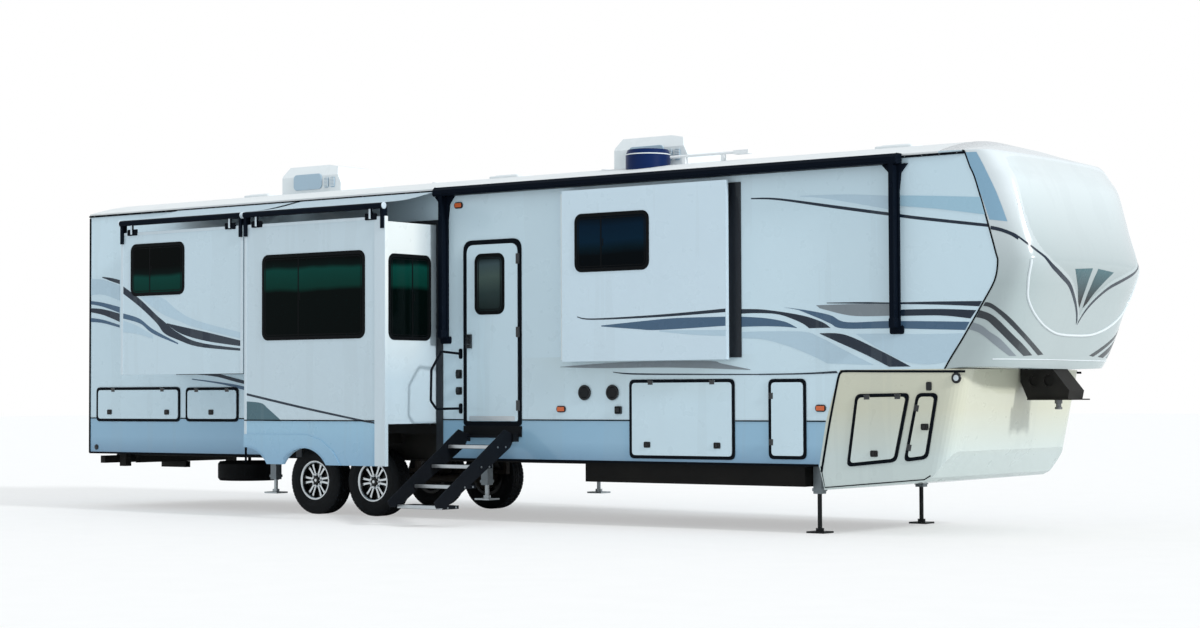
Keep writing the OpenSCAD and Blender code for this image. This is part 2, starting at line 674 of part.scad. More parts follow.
// grab handle's bends: distance out from the wall, height
grab_line = [[6, 1795], [320, 1815], [480, 1620], [490, 1290], [400, 1203], [6, 1205]];
grab_x = -6430;
module grab_handle() {
    ends = [for (p = grab_line) [grab_x, -half_w - p[0], p[1]]];
    for (k = [0 : len(ends) - 2]) bar(ends[k], ends[k + 1], 13);
    for (k = [1 : len(ends) - 2]) translate(ends[k]) sphere(r = 14);
    for (k = [0, len(ends) - 1]) side_block(-1, grab_x - 30, grab_x + 30, half_w, half_w + 8, ends[k][2] - 50, ends[k][2] + 50);
}

// outside equipment
module awning_case() {
    z = eave_z + roof_edge - case_h;
    y = -half_w;
    along_x([[y, z], [y - case_d + 12, z], [y - case_d, z + 14], [y - case_d, z + case_h - 34], [y - case_d + 32, z + case_h],
        [y, z + case_h]], case_x[0], case_x[1]);
}
arm_x = [-6675, -1090];
module awning_arms() {
    z = eave_z + roof_edge - case_h;
    for (x = arm_x) {
        side_block(-1, x, x + 80, half_w, half_w + 30, 1935, z);
        side_block(-1, x + 15, x + 65, half_w + 30, half_w + 105, 1985, z);
    }
}
module seated() {
    difference() {
        children();
        roof_form();
    }
}
cooler_x = [-9970, -4990];
module air_conditioners() {
    for (x = cooler_x) seated() intersection() {
        side_plate(1, [[x, 3700], [x + 960, 3700], [x + 960, 3860], [x + 860, 4060], [x + 700, 4090], [x + 60, 4090], [x, 3990]], -380, 380);
        along_x([[-370, 3700], [370, 3700], [370, 3960], [290, 4090], [-290, 4090], [-370, 3960]], x - 1, x + 961);
    }
}
module roof_fittings() {
    seated() {
        translate([-4340, -650, 3640]) rotate_extrude() polygon([[0, 0], [235, 0], [235, 210], [215, 262], [120, 275], [0, 275]]);
    }
    // low antenna on two supports
    for (x = [-3910, -3430]) seated() block(x, x + 40, -640, -600, 3690, 3800);
    bar([-4070, -620, 3814], [-3200, -620, 3814], 14);
    block(-3260, -3080, -660, -580, 3790, 3830);
    // roof vents and pipe caps
    for (x = [-rear_l + 1250, -7200, -2100]) seated() block(x, x + 420, 200, 620, 3700, 3850);
    for (x = [-8100, -5600]) seated() translate([x, 300, 3700]) cylinder(h = 150, r = 55);
}
module ladder() {
    x = -rear_l - 110;
    for (y = [740, 1000]) {
        bar([x, y, 1100], [x, y, eave_z - 20], 14);
        for (z = [1150, 2300, eave_z - 130]) bar([x, y, z], [-rear_l, y, z], 10);
    }
    for (k = [0 : 8]) bar([x, 740, 1200 + k * 280], [x, 1000, 1200 + k * 280], 11);
}
lamp_t = 18;
module lamps() {
    for (p = [[-6500, 3400], [-5100, 1200], [-1940, 1210]])
        side_block(-1, p[0], p[0] + 90, half_w, half_w + lamp_t, p[1] - 22, p[1] + 22);
    for (p = [[-rear_l + 550, 1300], [-5100, 1200], [-1940, 1210]])
        side_block(1, p[0], p[0] + 90, half_w, half_w + lamp_t, p[1] - 22, p[1] + 22);
    edge = half_w - 130;
    both_sides() {
        block(-rear_l - lamp_t, -rear_l, edge - 190, edge, 820, 900);
        block(-rear_l - lamp_t, -rear_l, edge - 80, edge, 3380, 3460);
    }
    for (y = [-150, 0, 150]) block(-rear_l - lamp_t, -rear_l, y - 40, y + 40, 3490, 3520);
    // round lamp on the drop compartment
    difference() {
        translate([-430, 60 - half_w, 1490]) rotate([90, 0, 0]) cylinder(h = 60 + lamp_t / 2, r = 32);
        compartment_form(0);
    }
}
module fittings() {
    // speakers, outlets, the plate over the steps and the brackets that carry them
    side_block(-1, door_box[0][0], door_box[1][0], half_w, half_w + flange_t, pivot[1], door_box[0][1] - seat);
    for (x = [-4745, -4386]) translate([x, -half_w, 1370]) rotate([90, 0, 0]) cylinder(h = 14, r = 75);
    side_block(-1, -4340, -4280, half_w, half_w + 30, 1160, 1220);
    for (z = [1365, 1545]) side_block(-1, -6485, -6425, half_w, half_w + 20, z, z + 60);
    h = step_w / 2 + plate_t;
    for (x = [step_mid - h - bracket_t - seat, step_mid + h + seat]) difference() {
        block(x, x + bracket_t, pivot[0] - 30, -half_w, pivot[1] - 50, pivot[1] + 40);
        translate([x - 1, pivot[0], pivot[1]]) rotate([0, 90, 0]) cylinder(h = bracket_t + 2, r = pivot_r + pivot_gap);
    }
}
module fixed_glass() {
    for (w = wall_windows) side_plate(w[0], soft(w[1], window_corner), half_w - glass_t, half_w + glass_proud);
    along_x(soft(rear_window, window_corner), -rear_l - glass_proud, -rear_l + glass_t);
}

// everything is modelled from the ground up and lowered, so that the kingpin's collar is the origin
module stand(c) {
    color(c) translate([0, 0, -pin_h]) children();
}
stand("#1d1f21") chassis_frame();
stand("#1d1f21") cross_beams();
stand("#222426") axles();
stand("#5f676b") jack_tubes();
stand("#b4babd") jack_rams();
stand("#1d1f21") pin_box();
stand("#8a8f92") kingpin();
stand("#3a3d3e") floors();
stand("#17191c") belly_pan();
stand("#d5dee3") right_wall();
stand("#d5dee3") left_wall();
stand("#d5dee3") rear_wall();
stand("#e6e9ea") roof();
stand("#dfe4e6") front_cap();
stand("#a4b8cc") skirts();
stand("#c5c9c0") front_compartment();
stand("#202225") eave_rails();
stand("#202225") slide_flanges();
stand("#17191c") opening_frames();
stand("#15171a") awning_case();
stand("#15171a") awning_arms();
stand("#e9ecec") air_conditioners();
stand("#26324f") roof_fittings();
stand("#9aa0a4") ladder();
stand("#d08a2a") lamps();
stand("#1a1c1f") fittings();
stand("#1b2a33") fixed_glass();
stand("#2a2c2e") topper_fabrics();
stand("#191a1b") spare_wheel();
stand("#202225") grab_handle();
stand("#d8e1e5") room(0);  // mid_slide
stand("#1b2a33") room_glass(0);  // mid_slide_glass
stand("#202225") room_topper(0);  // mid_slide_topper
stand("#d8e1e5") room(1);  // rear_slide
stand("#1b2a33") room_glass(1);  // rear_slide_glass
stand("#202225") room_topper(1);  // rear_slide_topper
stand("#d8e1e5") room(2);  // bed_slide
stand("#1b2a33") room_glass(2);  // bed_slide_glass
stand("#d8e1e5") room(3);  // left_slide
stand("#1b2a33") room_glass(3);  // left_slide_glass
stand("#202225") room_topper(3);  // left_slide_topper
stand("#191a1b") tyre(-1, axle_x[0]);  // right_front_tyre
stand("#b9bdc0") wheel(-1, axle_x[0]);  // right_front_wheel
stand("#191a1b") tyre(-1, axle_x[1]);  // right_rear_tyre
stand("#b9bdc0") wheel(-1, axle_x[1]);  // right_rear_wheel
stand("#191a1b") tyre(1, axle_x[0]);  // left_front_tyre
stand("#b9bdc0") wheel(1, axle_x[0]);  // left_front_wheel
stand("#191a1b") tyre(1, axle_x[1]);  // left_rear_tyre
stand("#b9bdc0") wheel(1, axle_x[1]);  // left_rear_wheel
stand("#d5dee3") entry_door();
stand("#1b2a33") entry_door_glass();
stand("#1d1f21") entry_steps();
stand("#d5dee3") hatch(0);  // right_rear_hatch
stand("#d5dee3") hatch(1);  // right_utility_hatch
stand("#d5dee3") hatch(2);  // right_pass_hatch
stand("#d5dee3") hatch(3);  // right_narrow_hatch
stand("#c5c9c0") hatch(4);  // right_nose_hatch
stand("#c5c9c0") hatch(5);  // right_battery_hatch
stand("#d5dee3") hatch(6);  // left_pass_hatch
stand("#c5c9c0") hatch(7);  // left_nose_hatch
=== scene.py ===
import math
import bmesh
import bpy
from mathutils import Matrix, Vector
from mathutils.bvhtree import BVHTree


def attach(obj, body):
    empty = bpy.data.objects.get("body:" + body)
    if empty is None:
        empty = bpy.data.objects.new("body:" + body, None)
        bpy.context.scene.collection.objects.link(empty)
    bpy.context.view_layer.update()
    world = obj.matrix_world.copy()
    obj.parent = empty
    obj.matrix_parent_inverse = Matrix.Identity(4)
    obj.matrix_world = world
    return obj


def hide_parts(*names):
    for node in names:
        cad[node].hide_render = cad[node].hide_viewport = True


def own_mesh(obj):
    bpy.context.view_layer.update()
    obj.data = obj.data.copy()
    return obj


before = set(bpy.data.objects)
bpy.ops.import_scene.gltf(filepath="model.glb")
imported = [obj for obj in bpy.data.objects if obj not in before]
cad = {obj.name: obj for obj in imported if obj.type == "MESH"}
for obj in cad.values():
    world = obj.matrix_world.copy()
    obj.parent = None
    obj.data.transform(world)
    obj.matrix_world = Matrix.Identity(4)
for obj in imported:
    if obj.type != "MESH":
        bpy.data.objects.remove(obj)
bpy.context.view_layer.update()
ground = -1.205  # height of the ground in the row frame
wallY = 1.22  # distance of the side walls from the middle
roomY = 2.085  # distance of the large rooms' faces
bedY = 1.34  # distance of the bedroom's room face
rearX = -12.45

tau = 2 * math.pi
photoView = {"place": (9.8186, -20.2301, 0.1429), "turn": 37.077, "rise": 1.9963, "roll": -0.2173, "focal": 2315.0, "centre": (600, 314)}


def cameraAxes(view):
    turn, rise, roll = (math.radians(view[k]) for k in ("turn", "rise", "roll"))
    side = Vector((math.cos(turn), math.sin(turn), 0))
    level = Vector((-math.sin(turn), math.cos(turn), 0))
    ahead = level * math.cos(rise) + Vector((0, 0, math.sin(rise)))
    up = Vector((0, 0, math.cos(rise))) - level * math.sin(rise)
    return side * math.cos(roll) + up * math.sin(roll), up * math.cos(roll) - side * math.sin(roll), ahead


def photoRay(u, v):
    right, up, ahead = cameraAxes(photoView)
    f, (cu, cv) = photoView["focal"], photoView["centre"]
    return Vector(photoView["place"]), (ahead + right * ((u - cu) / f) + up * ((cv - v) / f)).normalized()


def makeCamera():
    data = bpy.data.cameras.new("photoCamera")
    data.sensor_width = 36
    data.lens = photoView["focal"] / 1200 * 36
    data.clip_end = 500
    right, up, ahead = cameraAxes(photoView)
    turned = Matrix((right, up, -ahead)).transposed().to_4x4()
    turned.translation = photoView["place"]
    camera = bpy.data.objects.new("photoCamera", data)
    camera.matrix_world = turned
    bpy.context.scene.collection.objects.link(camera)
    bpy.context.scene.camera = camera


makeCamera()
print("camera placed")


def rgb(code):
    parts = [int(code[k:k + 2], 16) / 255 for k in (0, 2, 4)]
    return [c / 12.92 if c <= 0.04045 else ((c + 0.055) / 1.055) ** 2.4 for c in parts] + [1]


class Value:
    """One socket of a node tree, with arithmetic that adds Math nodes."""
    def __init__(self, home, socket):
        self.home, self.socket = home, socket

    def math(self, operation, a, b=None):
        return self.home.node("ShaderNodeMath", {"operation": operation}, {0: a} if b is None else {0: a, 1: b})

    def __add__(self, other):
        return self.math("ADD", self, other)

    def __sub__(self, other):
        return self.math("SUBTRACT", self, other)

    def __rsub__(self, other):
        return self.math("SUBTRACT", other, self)

    def __mul__(self, other):
        return self.math("MULTIPLY", self, other)

    def __truediv__(self, other):
        return self.math("DIVIDE", self, other)

    def __rtruediv__(self, other):
        return self.math("DIVIDE", other, self)

    def __pow__(self, other):
        return self.math("POWER", self, other)

    def __lt__(self, other):
        return self.math("LESS_THAN", self, other)

    def __gt__(self, other):
        return self.math("GREATER_THAN", self, other)

    def __abs__(self):
        return self.math("ABSOLUTE", self)

    __radd__ = __add__
    __rmul__ = __mul__


class Tree:
    def node(self, kind, settings=None, sockets=None, output=0):
        made = self.tree.nodes.new(kind)
        for key, value in (settings or {}).items():
            if key == "stops":
                ramp = made.color_ramp
                while len(ramp.elements) < len(value):
                    ramp.elements.new(0.5)
                for element, (place, colour) in zip(ramp.elements, value):
                    element.position, element.color = place, colour
            else:
                setattr(made, key, value)
        for key, value in (sockets or {}).items():
            self.join(made.inputs[key], value)
        return Value(self, made.outputs[output])

    def join(self, socket, value):
        if isinstance(value, Value):
            self.tree.links.new(value.socket, socket)
        else:
            socket.default_value = value


class Finish(Tree):
    def __init__(self, name):
        self.material = bpy.data.materials.new(name)
        self.material.use_nodes = True
        self.tree = self.material.node_tree
        self.shader = self.tree.nodes["Principled BSDF"]

    def place(self):
        return self.node("ShaderNodeTexCoord", output="Object")

    def axes(self):
        parts = self.node("ShaderNodeSeparateXYZ", sockets={0: self.place()}).socket.node
        return [Value(self, parts.outputs[k]) for k in range(3)]

    def noise(self, scale, detail=3, rough=0.5, stretch=None):
        where = self.place()
        if stretch:
            where = self.node("ShaderNodeMapping", {}, {"Vector": where, "Scale": stretch})
        return self.node("ShaderNodeTexNoise", {"noise_dimensions": "3D"}, {"Vector": where, "Scale": scale, "Detail": detail, "Roughness": rough})

    def wave(self, direction, scale):
        return self.node("ShaderNodeTexWave", {"wave_type": "BANDS", "bands_direction": direction}, {"Vector": self.place(), "Scale": scale}, output=1)

    def blend(self, share, a, b):
        return self.node("ShaderNodeMix", {"data_type": "RGBA", "clamp_factor": True}, {0: share, 6: a, 7: b}, output=2)

    def ramp(self, value, low, high):
        return self.node("ShaderNodeMapRange", {"clamp": True}, {0: value, 1: low, 2: high, 3: 0.0, 4: 1.0})

    def bump(self, height, strength, distance):
        return self.node("ShaderNodeBump", {}, {"Height": height, "Strength": strength, "Distance": distance})

    def set(self, **sockets):
        for key, value in sockets.items():
            self.join(self.shader.inputs[key.replace("_", " ")], value)
        return self.material


finishes = {}


def gelcoat(name, code, tint, rough=0.22, coat=0.4, wave=0.5, low=None, zone=None, shine=0.4):
    """Glossy laminate. low is (colour, height where it ends, height where it is full); zone paints stretches of the piece another colour."""
    f = Finish(name)
    x, y, z = f.axes()
    z = z - ground
    cloud, streak = f.noise(0.35, 2), f.noise(1.0, 4, 0.6, (2.2, 2.2, 0.12))
    colour = f.blend(cloud * 0.8, rgb(code), rgb(tint))
    if low:
        colour = f.blend(f.ramp(z, low[1], low[2]), colour, rgb(low[0]))
    if zone:
        for share, other in zone(f, x, y, z):
            colour = f.blend(share, colour, rgb(other))
    dirt = (1 - f.ramp(z, 0.6, 3.4)) * 0.55
    colour = f.blend((streak > 0.58) * 0.05 + dirt * streak * 0.14, colour, rgb("8f9a9c"))
    ripple = f.noise(1.3, 2) + f.noise(60, 2) * 0.004
    f.set(Base_Color=colour, Roughness=f.noise(5, 3) * 0.14 + rough, Coat_Weight=coat, Coat_Roughness=0.06, Specular_IOR_Level=shine,
          Normal=f.bump(ripple, wave, 0.02))
    finishes[name] = f.material


def paint(name, code, dust="6f7373", rough=0.35, metal=0.0, coat=0.0, grain=220, depth=0.0006, dusty=0.25, shine=0.07):
    f = Finish(name)
    patch, fine = f.noise(3.5, 5, 0.6), f.noise(grain, 3, 0.6)
    f.set(Base_Color=f.blend(patch * dusty, rgb(code), rgb(dust)), Roughness=patch * 0.25 + fine * 0.08 + (rough - 0.15), Metallic=metal,
          Coat_Weight=coat, Specular_IOR_Level=shine, Normal=f.bump(fine, 0.4, depth))
    finishes[name] = f.material


def wallZones(f, x, y, z):
    # shade below the bedroom's room, which fades out downwards and to both sides
    under = f.ramp(z, 1.25, 1.7) * (z < 1.74) * f.ramp(x, -5.7, -4.7) * (1 - f.ramp(x, -3.2, -2.6)) * (y < 0)
    return [(under * 0.45, "a9b6b4"), (f.ramp(z, 2.7, 3.2) * f.ramp(x, -2.9, -2.2) * 0.35, "b4ccd8")]


def leafZones(f, x, y, z):
    # knuckles and the handle's plate stand out of the leaf in black
    return wallZones(f, x, y, z) + [((abs(y) > 1.2325) * 1.0, "0c1016")]


def midRoomZones(f, x, y, z):
    # the skirt's colour below; painted sunlight on the side facing the nose, lighter higher up and further out from the
    # wall
    low = (z < 1.082) * (x < -6.889) * (abs(y) > 2.03)
    side = x > -6.786
    return [(low, "8cb4cc"), (low * (1 - f.ramp(z, 0.6, 0.98)), "7fa6c2"), (side * f.ramp(z, 1.5, 2.5) * f.ramp(abs(y), 1.25, 1.6), "dfe5e4")]


def leftRoomZones(f, x, y, z):
    low = (z < 1.082) * (x < -5.95) * (abs(y) > 2.03)
    return [(low, "8cb4cc"), (low * (1 - f.ramp(z, 0.6, 0.98)), "7fa6c2")]


def flangeZones(f, x, y, z):
    return [((x > -5.1) * (x < -2.945) * (y < 0), "d6e0e3")]


def makeFinishes():
    gelcoat("wallWhite", "c5dae4", "b9d0dc", zone=wallZones)
    gelcoat("leafWhite", "c5dae4", "b9d0dc", zone=leafZones)
    gelcoat("roomWhite", "c6d8e3", "bacfdb")
    gelcoat("rearRoomWhite", "bfd2dc", "b5cad5")
    gelcoat("midRoomWhite", "bccdd6", "b2c4ce", zone=midRoomZones)
    gelcoat("leftRoomWhite", "c2d4de", "b8cbd6", zone=leftRoomZones)
    gelcoat("skirtBlue", "8cb4cc", "7da6c4", rough=0.28, coat=0.5, low=("6d93b0", 0.86, 0.66))
    gelcoat("panelBeige", "c6c6b2", "bdbfae", wave=0.3, low=("c0ccca", 1.2, 0.75))
    gelcoat("leafBeige", "c6c6b2", "bdbfae", wave=0.3, low=("c0ccca", 1.2, 0.75), zone=leafZones)
    gelcoat("capPearl", "d2dadd", "c8d2d6", rough=0.16, coat=0.8, wave=0.25, low=("a0adae", 3.2, 2.35))
    gelcoat("capEdge", "d6dee1", "ccd6da", rough=0.18, coat=0.6, wave=0.2)
    gelcoat("capPanel", "cbd5d7", "becacc", rough=0.12, coat=1.0, wave=0.2, low=("8b999a", 3.3, 2.3))
    gelcoat("roofMembrane", "e3e7e8", "d2d8da", rough=0.5, coat=0.0)
    for name, code, tint in (("liveryNavy", "0d1c2c", "142538"), ("liveryCharcoal", "262c31", "31373c"), ("liverySlate", "3a5670", "45627d"),
                             ("liveryPale", "a9c1d0", "b3cad7"), ("liveryGrey", "727d84", "82898f"), ("liveryTeal", "3c5b66", "486a74"),
                             ("liveryBand", "7da2ba", "88acc2"), ("liveryBandPale", "93b6c9", "9dbfd0")):
        gelcoat(name, code, tint, rough=0.2, coat=0.25, wave=0.2, shine=0.2)
    gelcoat("liveryStroke", "46686f", "3d5f66", rough=0.2, coat=0.1, wave=0.2, low=("060c10", 2.50, 2.22), shine=0.15)
    gelcoat("flangeWhite", "11151c", "1a1f27", rough=0.3, coat=0.0, zone=flangeZones, shine=0.25)
    gelcoat("mouldWhite", "d3dcdf", "c8d2d6", rough=0.3, coat=0.2)
    gelcoat("roomEdge", "c3d1d9", "b9c8d1", rough=0.26, coat=0.2)
    gelcoat("coolerWhite", "e2e8ea", "d4dcdf", rough=0.36, coat=0.1)
    gelcoat("coolerBlue", "a5bccb", "96afc0", rough=0.32, coat=0.2)
    paint("trimBlack", "0a0e14", "1a1f26", rough=0.32, dusty=0.35, shine=0.02)
    paint("awningBlack", "09101a", "171d26", rough=0.38, dusty=0.3, shine=0.02)
    paint("frameBlack", "101214", "4a463f", rough=0.5, dusty=0.4)
    paint("axleBlack", "121314", "5a5148", rough=0.55, dusty=0.55)
    paint("bellyBlack", "0c0d0f", "2c2a26", rough=0.6, dusty=0.5)
    paint("jackGrey", "7f888d", "5a5f60", rough=0.4, metal=0.5, dusty=0.5, shine=0.4)
    paint("forgedSteel", "85898c", "4c4842", rough=0.42, metal=1.0, dusty=0.7)
    paint("floorBoard", "141516", "2b2825", rough=0.6, dusty=0.6)
    paint("ladderAlloy", "a4a9ac", "7c8184", rough=0.35, metal=1.0, dusty=0.5)
    paint("plasticBlack", "0b0d10", "1d2023", rough=0.45, grain=400, dusty=0.4)
    paint("latchBlack", "07090c", "15181b", rough=0.25, dusty=0.4, shine=0.35)
    paint("stepBlack", "0a0d12", "20252b", rough=0.45, grain=500, depth=0.0012, dusty=0.3)
    paint("edgeSilver", "c6cbce", "989ea2", rough=0.32, metal=0.9, dusty=0.5)
    paint("alloyFace", "d2d6d8", "a5aaad", rough=0.24, metal=1.0, dusty=0.35, grain=420, depth=0.0003)
    paint("alloyBlack", "060708", "1c1b19", rough=0.3, dusty=0.5, shine=0.3)
    paint("lampRim", "14171a", "26292c", rough=0.3, dusty=0.3, shine=0.3)
    paint("lensClear", "c9d2d6", "aab5ba", rough=0.18, metal=0.6, dusty=0.3, grain=60, depth=0.002)
    paint("screwSteel", "9aa1a5", "6d7376", rough=0.3, metal=1.0, dusty=0.6)
    paint("sealBlack", "06080a", "14171a", rough=0.6, dusty=0.4)
    # glass colours that change with height: painted reflections
    finishes["windowGlass"] = windowGlass("windowGlass", [(0.0, "030808"), (0.57, "030a09"), (0.62, "083029"), (0.79, "093a33"), (0.83, "041211"), (0.9, "020505")], 1.85, 2.95)
    finishes["bedGlass"] = windowGlass("bedGlass", [(0.0, "020508"), (0.3, "02070b"), (0.42, "04161f"), (0.55, "061f30"), (0.8, "051b2c"), (0.95, "030c14")], 2.6, 3.2)
    finishes["doorGlass"] = windowGlass("doorGlass", [(0.0, "141c1c"), (0.35, "2c3a3a"), (0.6, "43534f"), (0.8, "3c4c50"), (0.9, "1b2528"), (1.0, "0c1215")], 2.2, 2.87)
    finishes["tyreRubber"] = tyreRubber()
    finishes["wheelAlloy"] = wheelAlloy()
    finishes["jackSteel"] = jackSteel()
    finishes["lampLens"] = lampLens()
    finishes["topperTop"] = topperCloth("topperTop", "a9bfca", "90a7b3")
    # the same cloth made dark for its underside: painted shade, partly the real dark valance
    finishes["topperUnderShade"] = topperCloth("topperUnderShade", "222c38", "2c3642")
    finishes["roofParts"] = roofParts()


def windowGlass(name, stops, low, high):
    f = Finish(name)
    x, y, z = f.axes()
    # colour bands by height with a wavy edge: painted reflections, as the glass itself reflects very little
    height = f.ramp(z - ground + (f.noise(1.4, 2) - 0.5) * 0.09, low, high)
    band = f.node("ShaderNodeValToRGB", {"stops": [(place, rgb(code)) for place, code in stops]}, {0: height})
    f.set(Base_Color=band, Roughness=f.noise(3, 2) * 0.04 + 0.04, Specular_IOR_Level=0.035, Normal=f.bump(f.noise(0.7, 1), 0.25, 0.01))
    return f.material


def tyreRubber():
    f = Finish("tyreRubber")
    dust, fine = f.noise(9, 5, 0.65), f.noise(160, 3)
    f.set(Base_Color=f.blend(dust * 0.3, rgb("0a0d10"), rgb("26282a")), Roughness=dust * 0.2 + 0.55, Specular_IOR_Level=0.15,
          Normal=f.bump(fine + dust * 0.5, 0.5, 0.0015))
    return f.material


def wheelAlloy():
    # machined on the outer face, black on the flanks and in the pockets
    f = Finish("wheelAlloy")
    x, y, z = f.axes()
    deep = (abs(y) < 1.0705) * 1.0
    turned = f.noise(260, 2, 0.5, (1, 0.05, 1))
    f.set(Base_Color=f.blend(deep, rgb("d0d4d6"), rgb("08090a")), Metallic=1 - deep * 0.8, Roughness=turned * 0.12 + 0.2 + deep * 0.2,
          Specular_IOR_Level=0.3, Normal=f.bump(turned, 0.15, 0.0004))
    return f.material


def jackSteel():
    f = Finish("jackSteel")
    x, y, z = f.axes()
    black = (x > -3.0) * 1.0
    fine = f.noise(120, 3)
    f.set(Base_Color=f.blend(black, rgb("a9afb2"), rgb("0b0d10")), Metallic=0.9 - black * 0.9, Roughness=fine * 0.15 + 0.3,
          Specular_IOR_Level=0.25, Normal=f.bump(fine, 0.2, 0.0006))
    return f.material


def lampLens():
    f = Finish("lampLens")
    x, y, z = f.axes()
    ribs = f.wave("Z", 30.0)
    colour = f.blend((x < -12.44) * 1.0, rgb("c4571a"), rgb("8f1014"))
    f.set(Base_Color=f.blend((x > -0.6) * 1.0, colour, rgb("1b2024")), Roughness=ribs * 0.1 + 0.12, Coat_Weight=0.5, Normal=f.bump(ribs, 0.5, 0.002))
    return f.material


def topperCloth(name, code, stained):
    f = Finish(name)
    weave = f.wave("X", 260.0) + f.wave("Y", 260.0)
    stain = f.noise(1.6, 5, 0.6)
    f.set(Base_Color=f.blend(stain * 0.5, rgb(code), rgb(stained)), Roughness=weave * 0.1 + 0.6, Sheen_Weight=0.15, Specular_IOR_Level=0.2,
          Normal=f.bump(weave, 0.4, 0.0008))
    return f.material


def roofParts():
    f = Finish("roofParts")
    x, y, z = f.axes()
    dome = (abs(x + 4.34) < 0.245) * (abs(y + 0.65) < 0.245)
    fine = f.noise(90, 3)
    f.set(Base_Color=f.blend(dome, rgb("e4e8ea"), rgb("05204e")), Roughness=fine * 0.1 + 0.28, Specular_IOR_Level=0.12, Normal=f.bump(fine, 0.2, 0.0006))
    return f.material


makeFinishes()
nodeFinishes = {
    "chassis_frame": "frameBlack", "cross_beams": "frameBlack", "axles": "axleBlack", "jack_tubes": "jackGrey", "jack_rams": "jackSteel",
    "pin_box": "frameBlack", "kingpin": "forgedSteel", "floors": "floorBoard", "belly_pan": "bellyBlack", "right_wall": "wallWhite",
    "left_wall": "wallWhite", "rear_wall": "wallWhite", "roof": "roofMembrane", "front_cap": "capPearl", "skirts": "skirtBlue",
    "front_compartment": "panelBeige", "eave_rails": "trimBlack", "slide_flanges": "flangeWhite", "opening_frames": "trimBlack",
    "awning_case": "awningBlack", "awning_arms": "awningBlack", "air_conditioners": "coolerWhite", "roof_fittings": "roofParts",
    "ladder": "ladderAlloy", "lamps": "lampLens", "fittings": "plasticBlack", "topper_fabrics": "topperTop", "spare_wheel": "tyreRubber",
    "grab_handle": "trimBlack", "entry_door": "leafWhite", "entry_door_glass": "doorGlass", "entry_steps": "stepBlack",
    "bed_slide_glass": "bedGlass", "mid_slide": "midRoomWhite", "rear_slide": "rearRoomWhite", "left_slide": "leftRoomWhite"}
endings = [("_slide", "roomWhite"), ("_glass", "windowGlass"), ("_topper", "awningBlack"), ("_tyre", "tyreRubber"), ("_wheel", "wheelAlloy"),
           ("nose_hatch", "leafBeige"), ("battery_hatch", "leafBeige"), ("_hatch", "leafWhite")]
for name, piece in cad.items():
    kind = nodeFinishes.get(name) or next(choice for ending, choice in endings if name.endswith(ending))
    piece.data.materials.clear()
    piece.data.materials.append(finishes[kind])
print("finishes set")


def facesOut(mesh):
    work = bmesh.new()
    work.from_mesh(mesh)
    bmesh.ops.remove_doubles(work, verts=work.verts, dist=1e-6)
    bmesh.ops.dissolve_degenerate(work, edges=work.edges, dist=1e-7)
    bmesh.ops.recalc_face_normals(work, faces=work.faces)
    work.to_mesh(mesh)
    work.free()


def addPiece(name, mesh, body, angle=None):
    if angle:
        mesh.shade_smooth()
        mesh.set_sharp_from_angle(angle=math.radians(angle))
    piece = bpy.data.objects.new(name, mesh)
    bpy.context.scene.collection.objects.link(piece)
    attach(piece, body)
    return piece


def smoothLine(points, count):
    """A Catmull-Rom line through the points, in count stretches."""
    n = len(points)
    out = []
    for k in range(count + 1):
        t = k / count * (n - 1)
        i = min(int(t), n - 2)
        t -= i
        a, b, c, d = points[max(i - 1, 0)], points[i], points[i + 1], points[min(i + 2, n - 1)]
        out.append(tuple(0.5 * (2 * q + (r - p) * t + (2 * p - 5 * q + 4 * r - s) * t * t + (3 * q - p - 3 * r + s) * t ** 3)
                         for p, q, r, s in zip(a, b, c, d)))
    return out


def signedArea(p):
    return sum(p[i][0] * p[(i + 1) % len(p)][1] - p[(i + 1) % len(p)][0] * p[i][1] for i in range(len(p))) / 2


def pull(line, towards, distance):
    out = []
    for p, q in zip(line, towards):
        d = max(math.dist(p, q), 1e-9)
        out.append(tuple(a + (b - a) * min(distance / d, 0.5) for a, b in zip(p, q)))
    return out


def roundedRect(x0, z0, x1, z1, r, n=6):
    out = []
    for cx, cz, a in ((x1 - r, z0 + r, -90), (x1 - r, z1 - r, 0), (x0 + r, z1 - r, 90), (x0 + r, z0 + r, 180)):
        for k in range(n + 1):
            t = math.radians(a + 90 * k / n)
            out.append((cx + r * math.cos(t), cz + r * math.sin(t)))
    return out


def beside(line, width):
    """The line moved to both sides by half the width."""
    sides = [], []
    for k, p in enumerate(line):
        a, b = line[max(k - 1, 0)], line[min(k + 1, len(line) - 1)]
        d = math.dist(a, b)
        n = (-(b[1] - a[1]) / d * width / 2, (b[0] - a[0]) / d * width / 2)
        sides[0].append((p[0] + n[0], p[1] + n[1]))
        sides[1].append((p[0] - n[0], p[1] - n[1]))
    return sides


